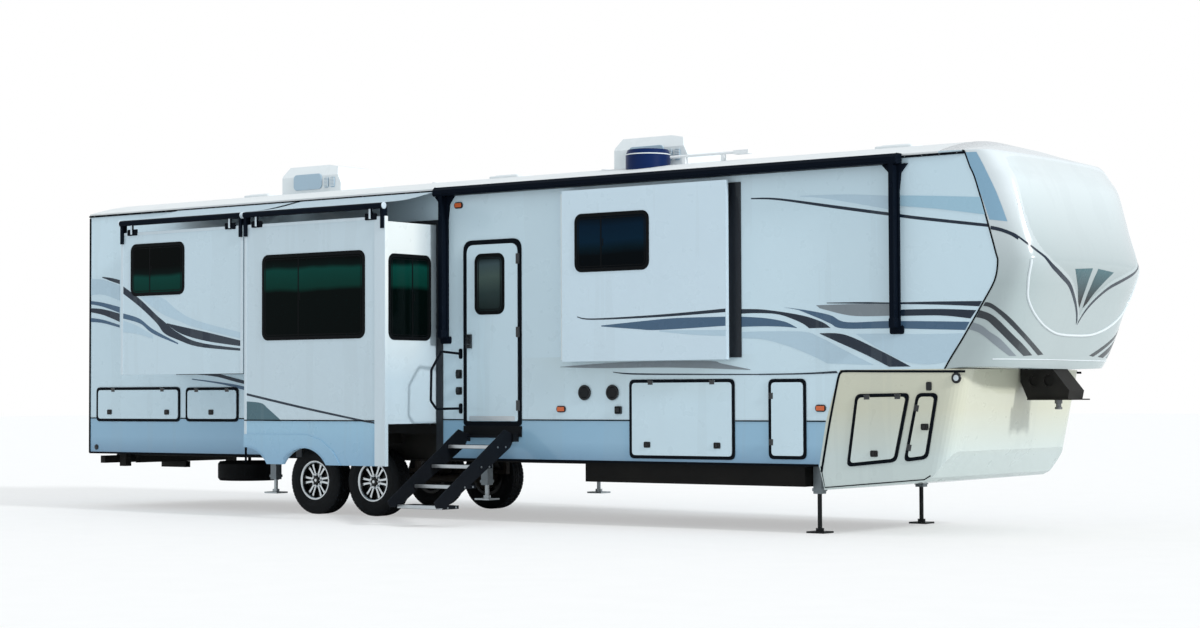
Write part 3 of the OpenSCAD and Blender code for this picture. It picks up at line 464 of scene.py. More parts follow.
class Solid:
    """Points and faces of one mesh, added shape by shape. A place turns (along, up, out) into a point of the row frame."""
    def __init__(self):
        self.points, self.faces, self.marks = [], [], []

    def add(self, points, faces, mark=0):
        base = len(self.points)
        self.points += points
        self.faces += [[base + i for i in f] for f in faces]
        self.marks += [mark] * len(faces)

    def levels(self, lines, mark, closed):
        n = len(lines[0])
        faces = []
        for k in range(len(lines) if closed else len(lines) - 1):
            m = (k + 1) % len(lines)
            faces += [[k * n + i, k * n + (i + 1) % n, m * n + (i + 1) % n, m * n + i] for i in range(n)]
        if not closed:
            last = (len(lines) - 1) * n
            faces += [list(range(n))[::-1], list(range(last, last + n))]
        self.add([p for line in lines for p in line], faces, mark)

    def prism(self, outline, place, low, high, mark=0):
        p = outline if signedArea(outline) > 0 else outline[::-1]
        self.levels([[place(a, b, h) for a, b in p] for h in (low, high)], mark, False)

    def plate(self, outline, place, low, high, mark=0, bevel=0.002):
        p = outline if signedArea(outline) > 0 else outline[::-1]
        middle = [tuple(sum(c) / len(p) for c in zip(*p))] * len(p)
        self.levels([[place(a, b, h) for a, b in line] for line, h in ((p, low), (p, high - bevel), (pull(p, middle, bevel), high))], mark, False)

    def ring(self, outer, inner, place, low, high, mark=0, bevel=0.002):
        levels = [(outer, low), (outer, high - bevel), (pull(outer, inner, bevel), high), (pull(inner, outer, bevel), high), (inner, high - bevel), (inner, low)]
        self.levels([[place(a, b, h) for a, b in line] for line, h in levels], mark, True)

    def strip(self, upper, lower, place, low, high, mark=0):
        self.prism(list(upper) + list(lower)[::-1], place, low, high, mark)

    def ribbon(self, line, width, place, low, high, mark=0):
        self.strip(*beside(line, width), place, low, high, mark)

    def lathe(self, profile, place, centre=(0, 0), count=32, mark=0):
        rows = [[place(centre[0] + r * math.cos(tau * k / count), centre[1] + r * math.sin(tau * k / count), h) for k in range(count)] for r, h in profile]
        self.levels(rows, mark, profile[0][0] > 0)

    def mesh(self, name, kinds):
        mesh = bpy.data.meshes.new(name)
        mesh.from_pydata([tuple(p) for p in self.points], [], self.faces)
        for kind in [kinds] if isinstance(kinds, str) else kinds:
            mesh.materials.append(finishes[kind])
        mesh.polygons.foreach_set("material_index", self.marks)
        mesh.validate()
        facesOut(mesh)
        return mesh

    def piece(self, name, body, kinds, slotName=None, angle=None):
        return addPiece(name, self.mesh(name, kinds), body, angle)


def onSide(side, y):
    return lambda a, b, h: Vector((a, side * (y + h), b + ground))


def onRear(a, b, h):
    return Vector((rearX - h, a, b + ground))


def acrossFrom(x):
    return lambda a, b, h: Vector((x + h, a, b + ground))


def onTop(z):
    return lambda a, b, h: Vector((a, b, z + h + ground))


def flat(a, b, h):
    return Vector((a, b, h))


class Pattern(Tree):
    """A Geometry Nodes tree with named inputs, which ends in real instances with one finish."""
    def __init__(self, name):
        self.tree = bpy.data.node_groups.new(name, "GeometryNodeTree")
        for way in ("INPUT", "OUTPUT"):
            self.tree.interface.new_socket("Geometry", in_out=way, socket_type="NodeSocketGeometry")
        self.entry = self.tree.nodes.new("NodeGroupInput")
        self.exit = self.tree.nodes.new("NodeGroupOutput")
        self.codes = {}

    def input(self, name, kind):
        self.codes[name] = self.tree.interface.new_socket(name, in_out="INPUT", socket_type="NodeSocket" + kind).identifier
        return Value(self, self.entry.outputs[name])

    def base(self):
        return Value(self, self.entry.outputs["Geometry"])

    def item(self):
        return self.node("GeometryNodeObjectInfo", {}, {"Object": self.input("Item", "Object")}, output="Geometry")

    def end(self, shape):
        real = self.node("GeometryNodeRealizeInstances", {}, {0: shape})
        made = self.node("GeometryNodeSetMaterial", {}, {"Geometry": real, "Material": self.input("Finish", "Material")})
        self.tree.links.new(made.socket, self.exit.inputs[0])
        return self

    def grow(self, name, body, values, points=((0, 0, 0),), edges=(), turns=None, slotName=None, angle=None):
        start = bpy.data.meshes.new(name)
        start.from_pydata([tuple(p) for p in points], list(edges), [])
        if turns:
            start.attributes.new("turn", "FLOAT_VECTOR", "POINT").data.foreach_set("vector", [c for turn in turns for c in turn])
        base = bpy.data.objects.new(name + "Start", start)
        bpy.context.scene.collection.objects.link(base)
        modifier = base.modifiers.new("pattern", "NODES")
        modifier.node_group = self.tree
        for key, value in values.items():
            modifier[self.codes[key]] = finishes[value] if key == "Finish" else value
        bpy.context.view_layer.update()
        graph = bpy.context.evaluated_depsgraph_get()
        mesh = bpy.data.meshes.new_from_object(base.evaluated_get(graph), depsgraph=graph)
        bpy.data.objects.remove(base)
        facesOut(mesh)
        return addPiece(name, mesh, body, angle)


def makeScatter():
    p = Pattern("scatter")
    turn = p.node("GeometryNodeInputNamedAttribute", {"data_type": "FLOAT_VECTOR"}, {"Name": "turn"})
    size = p.input("Size", "Float")
    return p.end(p.node("GeometryNodeInstanceOnPoints", {}, {"Points": p.base(), "Instance": p.item(), "Rotation": turn, "Scale": size}))


def makeRow():
    p = Pattern("row")
    line = p.node("GeometryNodeMeshLine", {"mode": "OFFSET"}, {"Count": p.input("Count", "Int"), "Start Location": p.input("Start", "Vector"),
                                                                "Offset": p.input("Step", "Vector")})
    return p.end(p.node("GeometryNodeInstanceOnPoints", {}, {"Points": line, "Instance": p.item()}))


def makeRound():
    # copies round a circle, each turned to face outward
    p = Pattern("round")
    count = p.input("Count", "Int")
    circle = p.node("GeometryNodeMeshCircle", {}, {"Vertices": count, "Radius": p.input("Radius", "Float")})
    angle = p.node("GeometryNodeInputIndex") * (tau / count)
    turned = p.node("ShaderNodeCombineXYZ", {}, {"Z": angle})
    copies = p.node("GeometryNodeInstanceOnPoints", {}, {"Points": circle, "Instance": p.item(), "Rotation": turned})
    return p.end(p.node("GeometryNodeTransform", {}, {"Geometry": copies, "Translation": p.input("Centre", "Vector"), "Rotation": p.input("Turn", "Vector")}))


def makeSweep():
    # a round bar along the start's edges, its corners bent
    p = Pattern("sweep")
    curve = p.node("GeometryNodeMeshToCurve", {}, {"Mesh": p.base()})
    bent = p.node("GeometryNodeFilletCurve", {"mode": "POLY"}, {"Curve": curve, "Count": 6, "Radius": p.input("Bend", "Float"), "Limit Radius": True})
    profile = p.node("GeometryNodeCurvePrimitiveCircle", {}, {"Resolution": p.input("Sides", "Int"), "Radius": p.input("Radius", "Float")})
    return p.end(p.node("GeometryNodeCurveToMesh", {}, {"Curve": bent, "Profile Curve": profile, "Fill Caps": True}))


scatter, row, rounds, sweep = makeScatter(), makeRow(), makeRound(), makeSweep()
items = []


def makeItem(name, solid, kind="trimBlack"):
    made = bpy.data.objects.new(name, solid.mesh(name, kind))
    bpy.context.scene.collection.objects.link(made)
    items.append(made)
    return made


def sweepLine(name, body, line, radius, finish, bend=0.0, sides=10, slotName=None):
    edges = [(k, k + 1) for k in range(len(line) - 1)]
    return sweep.grow(name, body, {"Radius": radius, "Bend": bend, "Sides": sides, "Finish": finish}, line, edges, slotName=slotName, angle=50)


capSizes = {"halfWidth": 1.22, "power": 5, "across": 230, "up": 190, "recess": 0.007, "lip": 0.0025, "border": 0.05, "wall": 0.012}
# the cap's ribs in metres from the kingpin and above the ground: seam x, seam z, front x, front z
capRibs = [(-0.549, 1.575, -0.52, 1.575), (-0.535, 1.597, 0.03, 1.575), (-0.49, 1.668, 0.078, 1.68), (-0.339, 1.884, 0.172, 1.93), (-0.151, 2.174, 0.27, 2.21),
           (-0.027, 2.38, 0.35, 2.4), (0.005, 2.544, 0.412, 2.56), (-0.014, 2.636, 0.386, 2.72), (-0.093, 2.914, 0.305, 2.97), (-0.211, 3.306, 0.21, 3.25),
           (-0.27, 3.44, 0.118, 3.42), (-0.321, 3.571, 0.015, 3.55), (-0.345, 3.59, -0.06, 3.605), (-0.42, 3.596, -0.28, 3.692), (-0.6, 3.6, -0.6, 3.78)]
# edge of the sunk panel, from the lower tip round one side to the top
recessHalf = [(0.0, 2.075), (0.09, 2.17), (0.22, 2.28), (0.424, 2.40), (0.66, 2.48), (0.896, 2.56), (1.02, 2.67), (1.08, 2.82), (1.1, 3.1), (1.1, 3.34), (1.07, 3.47),
              (0.98, 3.54), (0.4, 3.565), (0.0, 3.57)]
vLine = [(1.212, 2.815), (1.159, 2.725), (1.04, 2.62), (0.896, 2.53), (0.66, 2.45), (0.424, 2.37), (0.22, 2.25), (0.09, 2.14), (0.012, 2.03)]
chinLine = [(1.158, 2.56), (1.150, 2.44), (1.122, 2.33), (1.063, 2.206), (0.915, 2.081), (0.683, 1.975), (0.421, 1.912), (0.2, 1.895), (0.0, 1.893)]


def evenProfile(count):
    dense = []
    for k in range(721):
        a = math.radians(k / 8)
        dense.append((math.sin(a) ** (2 / capSizes["power"]), max(math.cos(a), 0) ** (2 / capSizes["power"])))
    scaled = [(s * 0.45, c * capSizes["halfWidth"]) for s, c in dense]
    run = [0.0]
    for p, q in zip(scaled, scaled[1:]):
        run.append(run[-1] + math.dist(p, q))
    out, j = [], 0
    for k in range(count + 1):
        goal = run[-1] * k / count
        while j < len(run) - 2 and run[j + 1] < goal:
            j += 1
        t = (goal - run[j]) / max(run[j + 1] - run[j], 1e-9)
        out.append(tuple(a + (b - a) * t for a, b in zip(dense[j], dense[j + 1])))
    return out


def distanceTo(line, p):
    best, inside = 9.0, False
    for (ax, ay), (bx, by) in zip(line, line[1:] + line[:1]):
        dx, dy = bx - ax, by - ay
        t = max(0, min(1, ((p[0] - ax) * dx + (p[1] - ay) * dy) / (dx * dx + dy * dy + 1e-12)))
        best = min(best, math.hypot(p[0] - ax - t * dx, p[1] - ay - t * dy))
        if (ay > p[1]) != (by > p[1]) and p[0] < ax + (p[1] - ay) / (by - ay) * dx:
            inside = not inside
    return -best if inside else best


def makeCap():
    size = capSizes
    ribs = smoothLine(capRibs[1:-1], size["up"])
    half = evenProfile(size["across"] // 2)
    whole = [(s, -c) for s, c in half] + [(s, c) for s, c in half[::-1][1:]]
    edge = smoothLine(recessHalf, 60)
    edge = edge + [(-a, b) for a, b in edge[::-1][1:-1]]
    rows = []
    for sx, sz, fx, fz in [capRibs[0]] + ribs + [capRibs[-1]]:
        rows.append([Vector((sx + (fx - sx) * s, c * size["halfWidth"], sz + (fz - sz) * (1 - c * c) + ground)) for s, c in whole])
    n, m = len(whole), len(rows)
    moved = []
    for i, line in enumerate(rows):
        turned = []
        for k, p in enumerate(line):
            if 0 < i < m - 1 and 0 < k < n - 1 and abs(p.y) < 1.19 and p.z > ground + 1.95:
                normal = (line[k + 1] - line[k - 1]).cross(rows[i + 1][k] - rows[i - 1][k]).normalized()
                d = distanceTo(edge, (p.y, p.z - ground))
                t = max(0.0, min(1.0, 0.5 - d / size["border"]))
                p = p + normal * (size["lip"] * math.exp(-((d - 0.03) / 0.018) ** 2) - size["recess"] * t * t * (3 - 2 * t))
            turned.append(p)
        moved.append(turned)
    points = [p for line in moved for p in line]
    faces = [[i * n + k, i * n + k + 1, (i + 1) * n + k + 1, (i + 1) * n + k] for i in range(m - 1) for k in range(n - 1)]
    marks = []
    for i in range(m - 1):
        for k in range(n - 1):
            c = (rows[i][k] + rows[i + 1][k + 1]) / 2
            marks.append(1 if abs(c.y) < 1.15 and c.z > ground + 1.95 and distanceTo(edge, (c.y, c.z - ground)) < -0.004 else 0)
    mesh = bpy.data.meshes.new("noseCap")
    mesh.from_pydata([tuple(p) for p in points], [], faces)
    for kind in ("capPearl", "capPanel"):
        mesh.materials.append(finishes[kind])
    mesh.polygons.foreach_set("material_index", marks)
    skin = addPiece("noseCap", mesh, "root", 180)
    thick = skin.modifiers.new("wall", "SOLIDIFY")
    thick.thickness, thick.offset = size["wall"], -1
    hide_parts("front_cap")
    return BVHTree.FromPolygons([tuple(p) for p in points], faces)


capTree = makeCap()
print("cap made")


def hitCap(start, way, lift):
    hit, normal, index, distance = capTree.ray_cast(start, way)
    if hit is None:
        return None
    return hit + (normal if normal.dot(way) < 0 else -normal) * lift


def onCap(u, v, lift=0.0):
    """The point of the cap that shows at a pixel of the photograph."""
    return hitCap(*photoRay(u, v), lift)


def capFront(y, z, lift=0.0):
    """The point of the cap seen from ahead at a distance from the middle and a height above the ground."""
    return hitCap(Vector((3, y, z + ground)), Vector((-1, 0, 0)), lift)


liveryKinds = ["liveryNavy", "liveryCharcoal", "liverySlate", "liveryPale", "liveryGrey", "liveryTeal", "liveryBand", "liveryStroke", "liveryBandPale"]
navy, charcoal, slate, pale, grey, teal, blueBand, stroke, paleBand = range(len(liveryKinds))
sheetThick = 0.0009
# colour, upper edge and lower edge in metres along and above the ground, on each flat face
rightWallBands = [
    (navy, [(-2.68, 3.275), (-2.36, 3.255), (-1.71, 3.15), (-1.11, 3.05), (-0.81, 3.0), (-0.098, 2.898)],
     [(-2.68, 3.262), (-2.36, 3.235), (-1.71, 3.12), (-1.11, 3.02), (-0.81, 2.97), (-0.088, 2.868)]),
    (pale, [(-2.11, 3.265), (-1.6, 3.25), (-1.11, 3.21)], [(-2.11, 3.255), (-1.81, 3.22), (-1.11, 3.08)]),
    (navy, [(-2.8, 2.185), (-2.53, 2.172), (-2.12, 2.11), (-1.88, 2.04), (-1.78, 1.98)], [(-2.8, 2.14), (-2.6, 2.14), (-2.36, 2.12), (-2.12, 2.04), (-2.02, 1.98)]),
    (slate, [(-2.8, 2.11), (-2.53, 2.09), (-2.3, 2.05), (-2.16, 1.99)], [(-2.8, 2.01), (-2.53, 2.01), (-2.3, 2.0), (-2.16, 1.985)]),
    (slate, [(-2.3, 2.19), (-2.02, 2.15), (-1.78, 2.1), (-1.6, 2.03), (-1.11, 2.03), (-0.29, 2.005)], [(-2.14, 2.16), (-1.9, 2.07), (-1.78, 2.02), (-1.64, 1.97), (-1.11, 1.96), (-0.335, 1.93)]),
    (grey, [(-1.94, 2.2), (-1.5, 2.2), (-1.11, 2.19)], [(-1.9, 2.17), (-1.54, 2.09), (-1.11, 2.08)]),
    (navy, [(-1.82, 2.222), (-1.4, 2.216), (-1.11, 2.205), (-0.6, 2.2), (-0.16, 2.192)], [(-1.82, 2.215), (-1.4, 2.2), (-1.11, 2.19), (-0.6, 2.17), (-0.19, 2.145)]),
    (navy, [(-1.11, 2.135), (-0.6, 2.13), (-0.22, 2.11)], [(-1.11, 2.075), (-0.6, 2.07), (-0.28, 2.035)]),
    (pale, [(-2.8, 1.96), (-2.12, 1.95), (-1.9, 1.89), (-1.6, 1.75), (-1.31, 1.62)], [(-2.8, 1.9), (-2.53, 1.88), (-2.22, 1.8), (-1.95, 1.7), (-1.82, 1.64)]),
    (navy, [(-1.9, 1.93), (-1.62, 1.91), (-1.25, 1.76), (-0.91, 1.6)], [(-1.9, 1.925), (-1.72, 1.85), (-1.4, 1.72), (-1.14, 1.6)]),
    (pale, [(-1.5, 1.915), (-1.11, 1.91), (-0.8, 1.9), (-0.36, 1.9)], [(-1.3, 1.8), (-1.0, 1.66), (-0.75, 1.62), (-0.52, 1.64)]),
    (grey, [(-5.07, 1.64), (-4.21, 1.68), (-3.23, 1.68), (-3.03, 1.65), (-2.7, 1.59)], [(-5.07, 1.636), (-4.5, 1.62), (-3.8, 1.62), (-3.2, 1.605), (-2.7, 1.585)]),
    (navy, [(-4.38, 1.582), (-4.11, 1.565), (-3.3, 1.553), (-2.59, 1.545)], [(-4.38, 1.574), (-4.11, 1.55), (-3.3, 1.54), (-2.59, 1.535)]),
    # rear corner
    (pale, [(-12.44, 2.80), (-12.2, 2.78), (-11.9, 2.70)], [(-12.44, 2.60), (-12.2, 2.60), (-11.9, 2.52)]),
    (navy, [(-12.22, 2.82), (-12.05, 2.80), (-11.9, 2.77)], [(-12.22, 2.81), (-12.05, 2.76), (-11.9, 2.72)]),
    (slate, [(-12.44, 2.53), (-12.2, 2.50), (-11.9, 2.44)], [(-12.44, 2.49), (-12.2, 2.45), (-11.9, 2.37)]),
    (navy, [(-12.44, 2.44), (-12.2, 2.42), (-11.9, 2.36)], [(-12.44, 2.39), (-12.2, 2.35), (-11.9, 2.26)]),
    (slate, [(-12.44, 2.32), (-12.2, 2.29), (-11.9, 2.22)], [(-12.44, 2.27), (-12.2, 2.25), (-11.9, 2.19)]),
    # below the rear room
    (navy, [(-10.74, 1.625), (-10.23, 1.615), (-9.75, 1.53), (-8.87, 1.38)], [(-10.74, 1.615), (-10.23, 1.58), (-9.75, 1.49), (-8.87, 1.35)]),
    (slate, [(-10.62, 1.555), (-10.14, 1.51), (-9.75, 1.46), (-8.87, 1.3)], [(-10.62, 1.545), (-10.14, 1.49), (-9.75, 1.42), (-8.87, 1.25)])]
rearRoomBands = [
    (navy, [(-10.88, 2.645), (-10.56, 2.47), (-10.28, 2.28), (-10.18, 2.22), (-9.92, 2.07), (-9.57, 1.955), (-8.88, 1.875)],
     [(-10.88, 2.56), (-10.56, 2.38), (-10.28, 2.19), (-10.15, 2.07), (-9.92, 1.99), (-9.57, 1.905), (-8.88, 1.85)]),
    (slate, [(-10.88, 2.32), (-10.58, 2.25), (-10.34, 2.12), (-9.92, 1.955)], [(-10.88, 2.26), (-10.56, 2.19), (-10.34, 2.07), (-9.92, 1.94)]),
    (navy, [(-10.11, 2.185), (-9.8, 2.13), (-9.46, 2.07), (-8.88, 1.96)], [(-10.11, 2.175), (-9.87, 2.06), (-9.46, 1.97), (-8.88, 1.90)]),
    (pale, [(-10.56, 2.5), (-10.2, 2.48), (-9.92, 2.32), (-9.6, 2.2), (-8.88, 2.05)], [(-10.5, 2.46), (-10.2, 2.3), (-9.92, 2.21), (-9.6, 2.12), (-8.88, 1.985)]),
    (pale, [(-10.88, 2.24), (-10.6, 2.16), (-10.34, 2.05)], [(-10.88, 2.10), (-10.6, 2.07), (-10.34, 2.01)])]
midRoomBands = [
    (navy, [(-8.84, 1.385), (-7.97, 1.235), (-7.06, 1.09), (-6.75, 1.05)], [(-8.84, 1.36), (-7.97, 1.21), (-7.06, 1.07), (-6.75, 1.035)]),
    (teal, [(-8.84, 1.29), (-8.59, 1.27), (-8.48, 1.21), (-8.28, 1.08)], [(-8.84, 1.08), (-8.6, 1.075), (-8.45, 1.072), (-8.28, 1.07)])]
bedRoomBands = [
    (navy, [(-4.75, 2.155), (-4.54, 2.13), (-3.7, 2.15), (-2.91, 2.19)], [(-4.75, 2.145), (-4.54, 2.115), (-3.7, 2.125), (-2.91, 2.155)]),
    (slate, [(-4.44, 2.055), (-3.9, 2.09), (-3.5, 2.11), (-2.91, 2.11)], [(-4.44, 2.045), (-4.0, 2.01), (-3.71, 1.995), (-2.91, 2.02)]),
    (pale, [(-3.71, 1.99), (-3.3, 1.985), (-2.91, 1.98)], [(-3.71, 1.98), (-3.3, 1.94), (-2.91, 1.92)])]
leftRoomBands = [
    (navy, [(-10.24, 2.0), (-9.2, 1.93), (-8.0, 1.72), (-6.8, 1.62), (-5.86, 1.6)], [(-10.24, 1.93), (-9.2, 1.86), (-8.0, 1.67), (-6.8, 1.59), (-5.86, 1.585)]),
    (slate, [(-10.24, 1.87), (-9.2, 1.79), (-8.2, 1.63), (-7.4, 1.55)], [(-10.24, 1.79), (-9.2, 1.72), (-8.2, 1.58), (-7.4, 1.54)]),
    (pale, [(-9.0, 1.66), (-8.2, 1.53), (-7.0, 1.45), (-5.86, 1.43)], [(-9.0, 1.65), (-8.2, 1.42), (-7.0, 1.36), (-5.86, 1.36)]),
    (teal, [(-10.24, 1.29), (-9.6, 1.27), (-9.2, 1.2), (-8.9, 1.08)], [(-10.24, 1.08), (-9.8, 1.075), (-9.3, 1.072), (-8.9, 1.07)])]
leftRearBands = [band for band in rightWallBands if band[1][0][0] < -11.5]
leftFrontBands = [band for band in rightWallBands if band[1][0][0] > -5.4]
rightOnly = [(paleBand, [(-1.005, 3.207), (-0.6, 3.18), (-0.17, 3.147)], [(-1.005, 3.109), (-0.6, 3.06), (-0.122, 2.985)]),
             (navy, [(-2.6, 1.546), (-2.1, 1.55), (-1.72, 1.566)], [(-2.6, 1.534), (-2.1, 1.536), (-1.70, 1.545)])]
# bands and strokes by pixels of the photograph: colour, upper or outer edge, lower or inner edge
capBands = [
    (charcoal, [(980, 302.5), (990, 302.8), (1001, 310), (1012, 319.5), (1029.5, 338.5), (1043.3, 354.5)],
     [(977, 305.5), (988.5, 306.8), (998, 313), (1009, 323.5), (1023.5, 338.5), (1037.8, 355.3)]),
    (charcoal, [(975.5, 309), (988.5, 313), (998, 319.5), (1012, 333.7), (1023.5, 345), (1032.2, 355.3)],
     [(971.5, 316.5), (985.4, 319.5), (995, 327.5), (1007.6, 340), (1015.5, 348), (1023.5, 356)]),
    (grey, [(969, 321.5), (980.6, 325), (990, 332), (999.7, 338.5), (1009, 348), (1016.3, 356)],
     [(966, 328.5), (977.5, 332), (985.4, 337), (995, 345), (1002.8, 351.3), (1009.2, 356)]),
    (blueBand, [(976.4, 151.8), (985, 167.9), (997.1, 193.7), (1007.4, 221.3)], [(965.2, 152.2), (972.2, 171.3), (982.5, 198.9), (989.4, 219.5)]),
    (navy, [(985.5, 225.2), (990, 225.6), (1000, 227.7), (1010.9, 231.6), (1019, 236.5)], [(985.5, 228.6), (990, 229.2), (1000, 231.3), (1010.4, 235.2), (1018, 239.8)])]
# strokes inside the sunk panel: distance from the middle and height, outer edge and inner edge
capStrokes = [[(0.42, 2.50), (0.31, 2.415), (0.19, 2.31), (0.095, 2.20)], [(0.06, 2.52), (0.05, 2.40), (0.04, 2.28), (0.035, 2.15)]]


def makeBands(name, body, bands, side, y):
    solid = Solid()
    for k, (colour, upper, lower) in enumerate(bands):
        solid.strip(smoothLine(upper, 28), smoothLine(lower, 28), onSide(side, y), 0.0001, sheetThick * (1 + 0.15 * k), colour)
    return solid.piece(name, body, liveryKinds)


makeBands("liveryRight", "root", rightWallBands + rightOnly, -1, wallY)
makeBands("liveryLeft", "root", leftRearBands + leftFrontBands, 1, wallY)
makeBands("liveryRearRoom", "rear_slide_room", rearRoomBands, -1, roomY)
makeBands("liveryMidRoom", "mid_slide_room", midRoomBands, -1, roomY)
makeBands("liveryBedRoom", "bed_slide_room", bedRoomBands, -1, bedY)
makeBands("liveryLeftRoom", "left_slide_room", leftRoomBands, 1, roomY)


def capSheet(solid, rows, mark):
    """A thin sheet between rows of points on the cap, turned outward."""
    n = len(rows[0])
    points = [p for line in rows for p in line]
    faces = [[i * n + j, i * n + j + 1, (i + 1) * n + j + 1, (i + 1) * n + j] for i in range(len(rows) - 1) for j in range(n - 1)]
    a, b, c = (points[k] for k in faces[0][:3])
    outward = (b - a).cross(c - b).dot(Vector((1, a.y, 0)))
    solid.add(points, faces if outward > 0 else [f[::-1] for f in faces], mark)


def capStrip(solid, upper, lower, mark, find=onCap, lift=0.0016, count=26, wide=4):
    for mirror in (1, -1):
        rows = []
        for a, b in zip(smoothLine(upper, count), smoothLine(lower, count)):
            line = [find(a[0] + (b[0] - a[0]) * j / wide, a[1] + (b[1] - a[1]) * j / wide, lift) for j in range(wide + 1)]
            if all(p is not None and (find is capFront or p.y < 0.05) for p in line):
                rows.append([Vector((p.x, p.y * mirror, p.z)) for p in line])
        if len(rows) > 1:
            capSheet(solid, rows, mark)


def makeCapLivery():
    solid = Solid()
    for colour, upper, lower in capBands:
        capStrip(solid, upper, lower, colour)
    capStrip(solid, *capStrokes, stroke, capFront, 0.0012)
    thick = [(a, b - 0.024 - 0.014 * min(1, k / 4)) for k, (a, b) in enumerate(vLine)]
    capStrip(solid, vLine, thick, navy, capFront, 0.0018, 60, 2)
    mesh = bpy.data.meshes.new("liveryCap")
    mesh.from_pydata([tuple(p) for p in solid.points], [], solid.faces)
    for kind in liveryKinds:
        mesh.materials.append(finishes[kind])
    mesh.polygons.foreach_set("material_index", solid.marks)
    addPiece("liveryCap", mesh, "root", 180)


capTrim = {"seam": 0.014, "seamOut": 0.003, "chin": 0.013, "sill": 0.006}


def makeCapTrim():
    size = capTrim
    seam = smoothLine([(sx - 0.004, sz) for sx, sz, fx, fz in capRibs[:13]], 80)
    solid = Solid()
    for side in (-1, 1):
        solid.ribbon(seam, size["seam"], onSide(side, wallY), -0.001, size["seamOut"])
    solid.piece("capSeam", "root", "sealBlack", "trim_black")
    half = [capFront(y, z, 0.001) for y, z in smoothLine(chinLine, 60)]
    half = [p for p in half if p is not None]
    line = half + [Vector((p.x, -p.y, p.z)) for p in half[::-1][1:]]
    sweepLine("capChin", "root", line, size["chin"], "capEdge", slotName="cap_pearl")
    low = [capFront(1.17 - 1.17 * k / 40, 1.66, 0.0) for k in range(41)]
    low = [p for p in low if p is not None]
    sweepLine("capSill", "root", low + [Vector((p.x, -p.y, p.z)) for p in low[::-1][1:]], size["sill"], "capEdge", slotName="cap_pearl")


makeCapLivery()
makeCapTrim()
print("livery made")


windowRings = {"outside": 0.012, "inside": 0.028, "proud": 0.007, "corner": 0.075, "bead": 0.004, "weep": 0.03}
windows = [("mid_slide_room", onSide(-1, roomY), [-8.56, 1.97, -7.04, 2.89], 0.36), ("rear_slide_room", onSide(-1, roomY), [-10.71, 2.52, -9.83, 3.1], 0.36),
           ("bed_slide_room", onSide(-1, bedY), [-4.77, 2.62, -3.845, 3.2], 0.36), ("left_slide_room", onSide(1, roomY), [-9.9, 1.97, -8.7, 2.89], 0.36),
           ("left_slide_room", onSide(1, roomY), [-8.3, 1.97, -7.3, 2.89], 0.36), ("left_slide_room", onSide(1, roomY), [-6.9, 2.2, -6.2, 2.89], None),
           ("mid_slide_room", acrossFrom(-6.78), [-1.98, 1.95, -1.32, 2.85], 0.56), ("entry_door_leaf", onSide(-1, wallY + 0.012), [-6.21, 2.22, -5.82, 2.85], None),
           ("root", onSide(1, wallY), [-4.1, 2.5, -3.0, 3.06], 0.36), ("root", onSide(1, wallY), [-11.9, 2.45, -10.9, 3.06], 0.36), ("root", onRear, [-0.7, 2.15, 0.7, 2.9], 0.5)]


def makeWindows():
    size = windowRings
    solids = {}
    for body, place, (x0, z0, x1, z1), sash in windows:
        solid = solids.setdefault(body, Solid())
        a, b, r = size["outside"], size["inside"], size["corner"]
        outer, inner = roundedRect(x0 - a, z0 - a, x1 + a, z1 + a, r + a), roundedRect(x0 + b, z0 + b, x1 - b, z1 - b, r - 0.02)
        solid.ring(outer, inner, place, 0.0, size["proud"], bevel=0.003)
        inside = [roundedRect(x0 + b + d, z0 + b + d, x1 - b - d, z1 - b - d, r - 0.02 - d) for d in (0.012, 0.02)]
        solid.ring(*inside, place, 0.004, 0.0065, bevel=0.001)
        if sash:
            # the joint of the sliding pane and its pull
            s = x0 + (x1 - x0) * sash
            solid.plate(roundedRect(s - 0.007, z0 + b, s + 0.007, z1 - b, 0.003, 2), place, 0.004, 0.0068)
            solid.plate(roundedRect(s + 0.018, (z0 + z1) / 2 - 0.04, s + 0.03, (z0 + z1) / 2 + 0.04, 0.005, 3), place, 0.004, 0.0075)
        for k in (0.25, 0.75):
            w = x0 + (x1 - x0) * k
            solid.plate(roundedRect(w - size["weep"], z0 + 0.004, w + size["weep"], z0 + 0.016, 0.005, 3), place, size["proud"] - 0.002, size["proud"] + 0.003)
    for body, solid in solids.items():
        solid.piece("windowFrames_" + body, body, "sealBlack", "trim_black")


makeWindows()
print("windows made")


# flat trims in metres along and above the ground
sideTrims = {"belt": 1.085, "beltHalf": 0.006, "beltOut": 0.007, "lip": 0.65, "lipTop": 0.672, "lipOut": 0.004}
beltRuns = {-1: [(-12.45, -12.315), (-10.815, -10.725), (-9.825, -8.895), (-6.685, -6.39), (-5.578, -4.175), (-2.88, -2.492), (-2.053, -1.84)],
            1: [(-12.45, -10.31), (-5.79, -4.175), (-2.88, -1.84)]}
lipRuns = {-1: [(-12.45, -8.85), (-6.74, -1.925)], 1: [(-12.45, -10.27), (-5.84, -1.925)]}
# corner of the drop compartment's dark outline: along, height
dropOutline = [(-1.892, 0.60), (-1.853, 0.80), (-1.80, 1.06), (-1.722, 1.40), (-1.69, 1.52), (-1.665, 1.552), (-1.62, 1.563), (-1.2, 1.558), (-0.6, 1.552), (-0.34, 1.550)]


